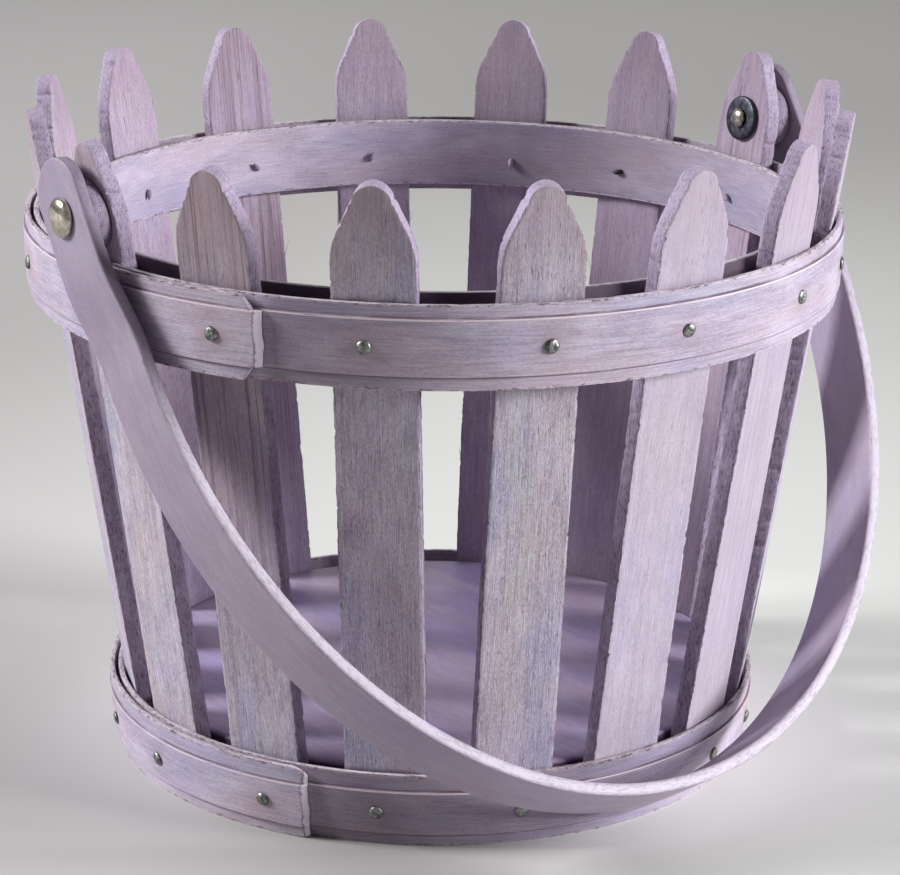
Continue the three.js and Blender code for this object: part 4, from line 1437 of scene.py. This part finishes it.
# %% Tree for splinters on the edges
splinters, given = new_tree("edge_splinters", [
    ("Slats", "NodeSocketGeometry"), *numbers("Density", "Length", "Thickness"), ("Seed", "NodeSocketInt"),
    ("Material", "NodeSocketMaterial"),
])
below_tip = 1.0 - recall_number(splinters, "torn").above(0.01)
scatter = add_node(splinters, "GeometryNodeDistributePointsOnFaces", {
    "Mesh": given["Slats"], "Selection": recall_number(splinters, "sawn").above(0.6) * below_tip,
    "Density": given["Density"], "Seed": given["Seed"],
})
thorn = result(splinters, "GeometryNodeMeshCone", {
    "Vertices": 4, "Side Segments": 3, "Radius Top": 0.05, "Radius Bottom": 0.5, "Depth": 1.0,
})
looseness = {"Min": (-0.25, -0.25, 0.0), "Max": (0.25, 0.25, 0.0), "Seed": given["Seed"]}
loose = result(splinters, "FunctionNodeRandomValue", looseness, data_type="FLOAT_VECTOR")
spot_x, spot_y = parts_of(splinters, result(splinters, "GeometryNodeInputPosition"))[:2]
reach = (spot_x * spot_x + spot_y * spot_y).root().most(TINY)
lean_x = spot_x / reach * math.sin(LEAN)
lean_y = spot_y / reach * math.sin(LEAN)
lean_way = vector(splinters, lean_x, lean_y, math.cos(LEAN))
aim = summed(splinters, lean_way, scaled(splinters, scatter.outputs["Normal"], 0.16), loose)
lengths = {2: 0.35, 3: 1.4, "Seed": given["Seed"]}
stretch = Field(splinters, result(splinters, "FunctionNodeRandomValue", lengths, 1, data_type="FLOAT"))
copies = result(splinters, "GeometryNodeInstanceOnPoints", {
    "Points": scatter.outputs["Points"], "Instance": thorn,
    "Rotation": result(splinters, "FunctionNodeAlignRotationToVector", {"Vector": aim}, axis="Z"),
    "Scale": vector(splinters, given["Thickness"], given["Thickness"], given["Length"] * stretch),
})
close_tree(splinters, copies, given["Material"])
for word, slats in pickets.items():
    hairs = bake(word + "_hairs", splinters, {
        "Density": 7500.0, "Length": 4.5 * MM, "Thickness": 0.2 * MM, "Seed": 11, "Material": picket_wood,
    }, slats.data.copy())
    settle(hairs, "basket")

# %% [markdown]
# ## Floor and light
# The photograph has two large soft lights, one on each side, far away and about equally strong, and little
# light from the front. So the faces turned to the camera are greyer than those on the sides, and the inside
# is dark behind the front pickets. A weak light from behind lifts the rim. The floor is plain and pale, with
# painted shade in its colour: it is painted darker outwards, behind the basket, to the left and to the front
# left, and a painted shadow lies at the foot of the basket in front. The world gives almost no light of its
# own, but the camera sees it as a pale wall, and metal has a dimmer one to mirror.

# %% Floor
FLOOR_SIZE = 5.2
floor_paint, tree, shader = new_material("floor_paint")
spot = result(tree, "ShaderNodeTexCoord", out="Object")
spot_x, spot_y = parts_of(tree, spot)[:2]
away = (spot_x * spot_x + spot_y * spot_y).root() + (noise(tree, spot, 3.0, 3.0, 0.5) - 0.5) * 0.1
leftward = spot_x * -camera_right.x - spot_y * camera_right.y
frontward = spot_x * back.x + spot_y * back.y
# The floor's colour carries painted shade: darker outwards, behind, to the left and to the front left, and a
# painted shadow at the foot of the basket in front.
side_shade_tone = blend_colours(tree, away.ease(0.15, 0.5), (199, 196, 196), (172, 169, 169))
foot_shadow = frontward.ease(0.03, 0.09) * (1.0 - frontward.ease(0.14, 0.3))
in_middle = 1.0 - (leftward - 0.005).size().ease(0.0, 0.09)
tone = coats(
    tree,
    (240, 241, 238),
    ((-frontward).ease(0.07, 0.14), (217, 218, 215)),
    (away.ease(0.1, 0.95), (156, 154, 153)),
    (away.ease(1.2, 2.6), (100, 99, 98)),
    (leftward.ease(-0.05, 0.2) * (1.0 - away.ease(0.6, 1.6)), side_shade_tone),
    ((leftward + frontward).ease(0.02, 0.2), (184, 181, 182)),
    (foot_shadow * in_middle * 0.85, (140, 137, 138)),
)
feed(tree, shader.inputs["Base Color"], tone)
shader.inputs["Roughness"].default_value = 0.9
bpy.ops.mesh.primitive_plane_add(size=FLOOR_SIZE)
floor = bpy.context.object
floor.name = "floor"
floor.data.materials.append(floor_paint)
print("the floor is", FLOOR_SIZE, "metres wide")

# %% Lamps and world
LAMP_AIM = Vector((0, 0, 0.1))
WORLD_LIGHT = 0.07


def soft_lamp(name, place, size, power):
    data = bpy.data.lights.new(name, "AREA")
    data.shape = "RECTANGLE"
    data.size, data.size_y = size
    data.energy = power
    lamp = link(name, data)
    lamp.location = place
    lamp.rotation_mode = "QUATERNION"
    lamp.rotation_quaternion = (LAMP_AIM - place).to_track_quat("-Z", "Y")
    print(name, "stands at", [round(v, 2) for v in place])


def from_camera(turn_right, height, away):
    """Place at a bearing to the right of the camera's own, at a height and a distance from the basket."""
    bearing = AZIMUTH + math.radians(turn_right)
    return Vector((math.sin(bearing) * away, -math.cos(bearing) * away, height))


soft_lamp("right_key", from_camera(75, 0.98, 2.6), (0.9, 0.9), 97)
soft_lamp("left_fill", from_camera(-92, 1.48, 2.4), (0.8, 0.8), 96)
soft_lamp("back_lift", from_camera(180, 0.5, 1.3), (0.8, 0.6), 1.6)
world = bpy.data.worlds.new("studio")
bpy.context.scene.world = world
world.use_nodes = True
sky = world.node_tree
background = sky.nodes["Background"]
background.inputs["Color"].default_value = (0.62, 0.62, 0.62, 1)
rays = {out.name: Field(sky, out) for out in add_node(sky, "ShaderNodeLightPath").outputs}
seen = rays["Is Camera Ray"].most(rays["Is Transmission Ray"]) * 0.9
feed(sky, background.inputs["Strength"], seen.most(rays["Is Glossy Ray"] * 0.35) + WORLD_LIGHT)
bpy.context.scene.view_settings.view_transform = "Standard"
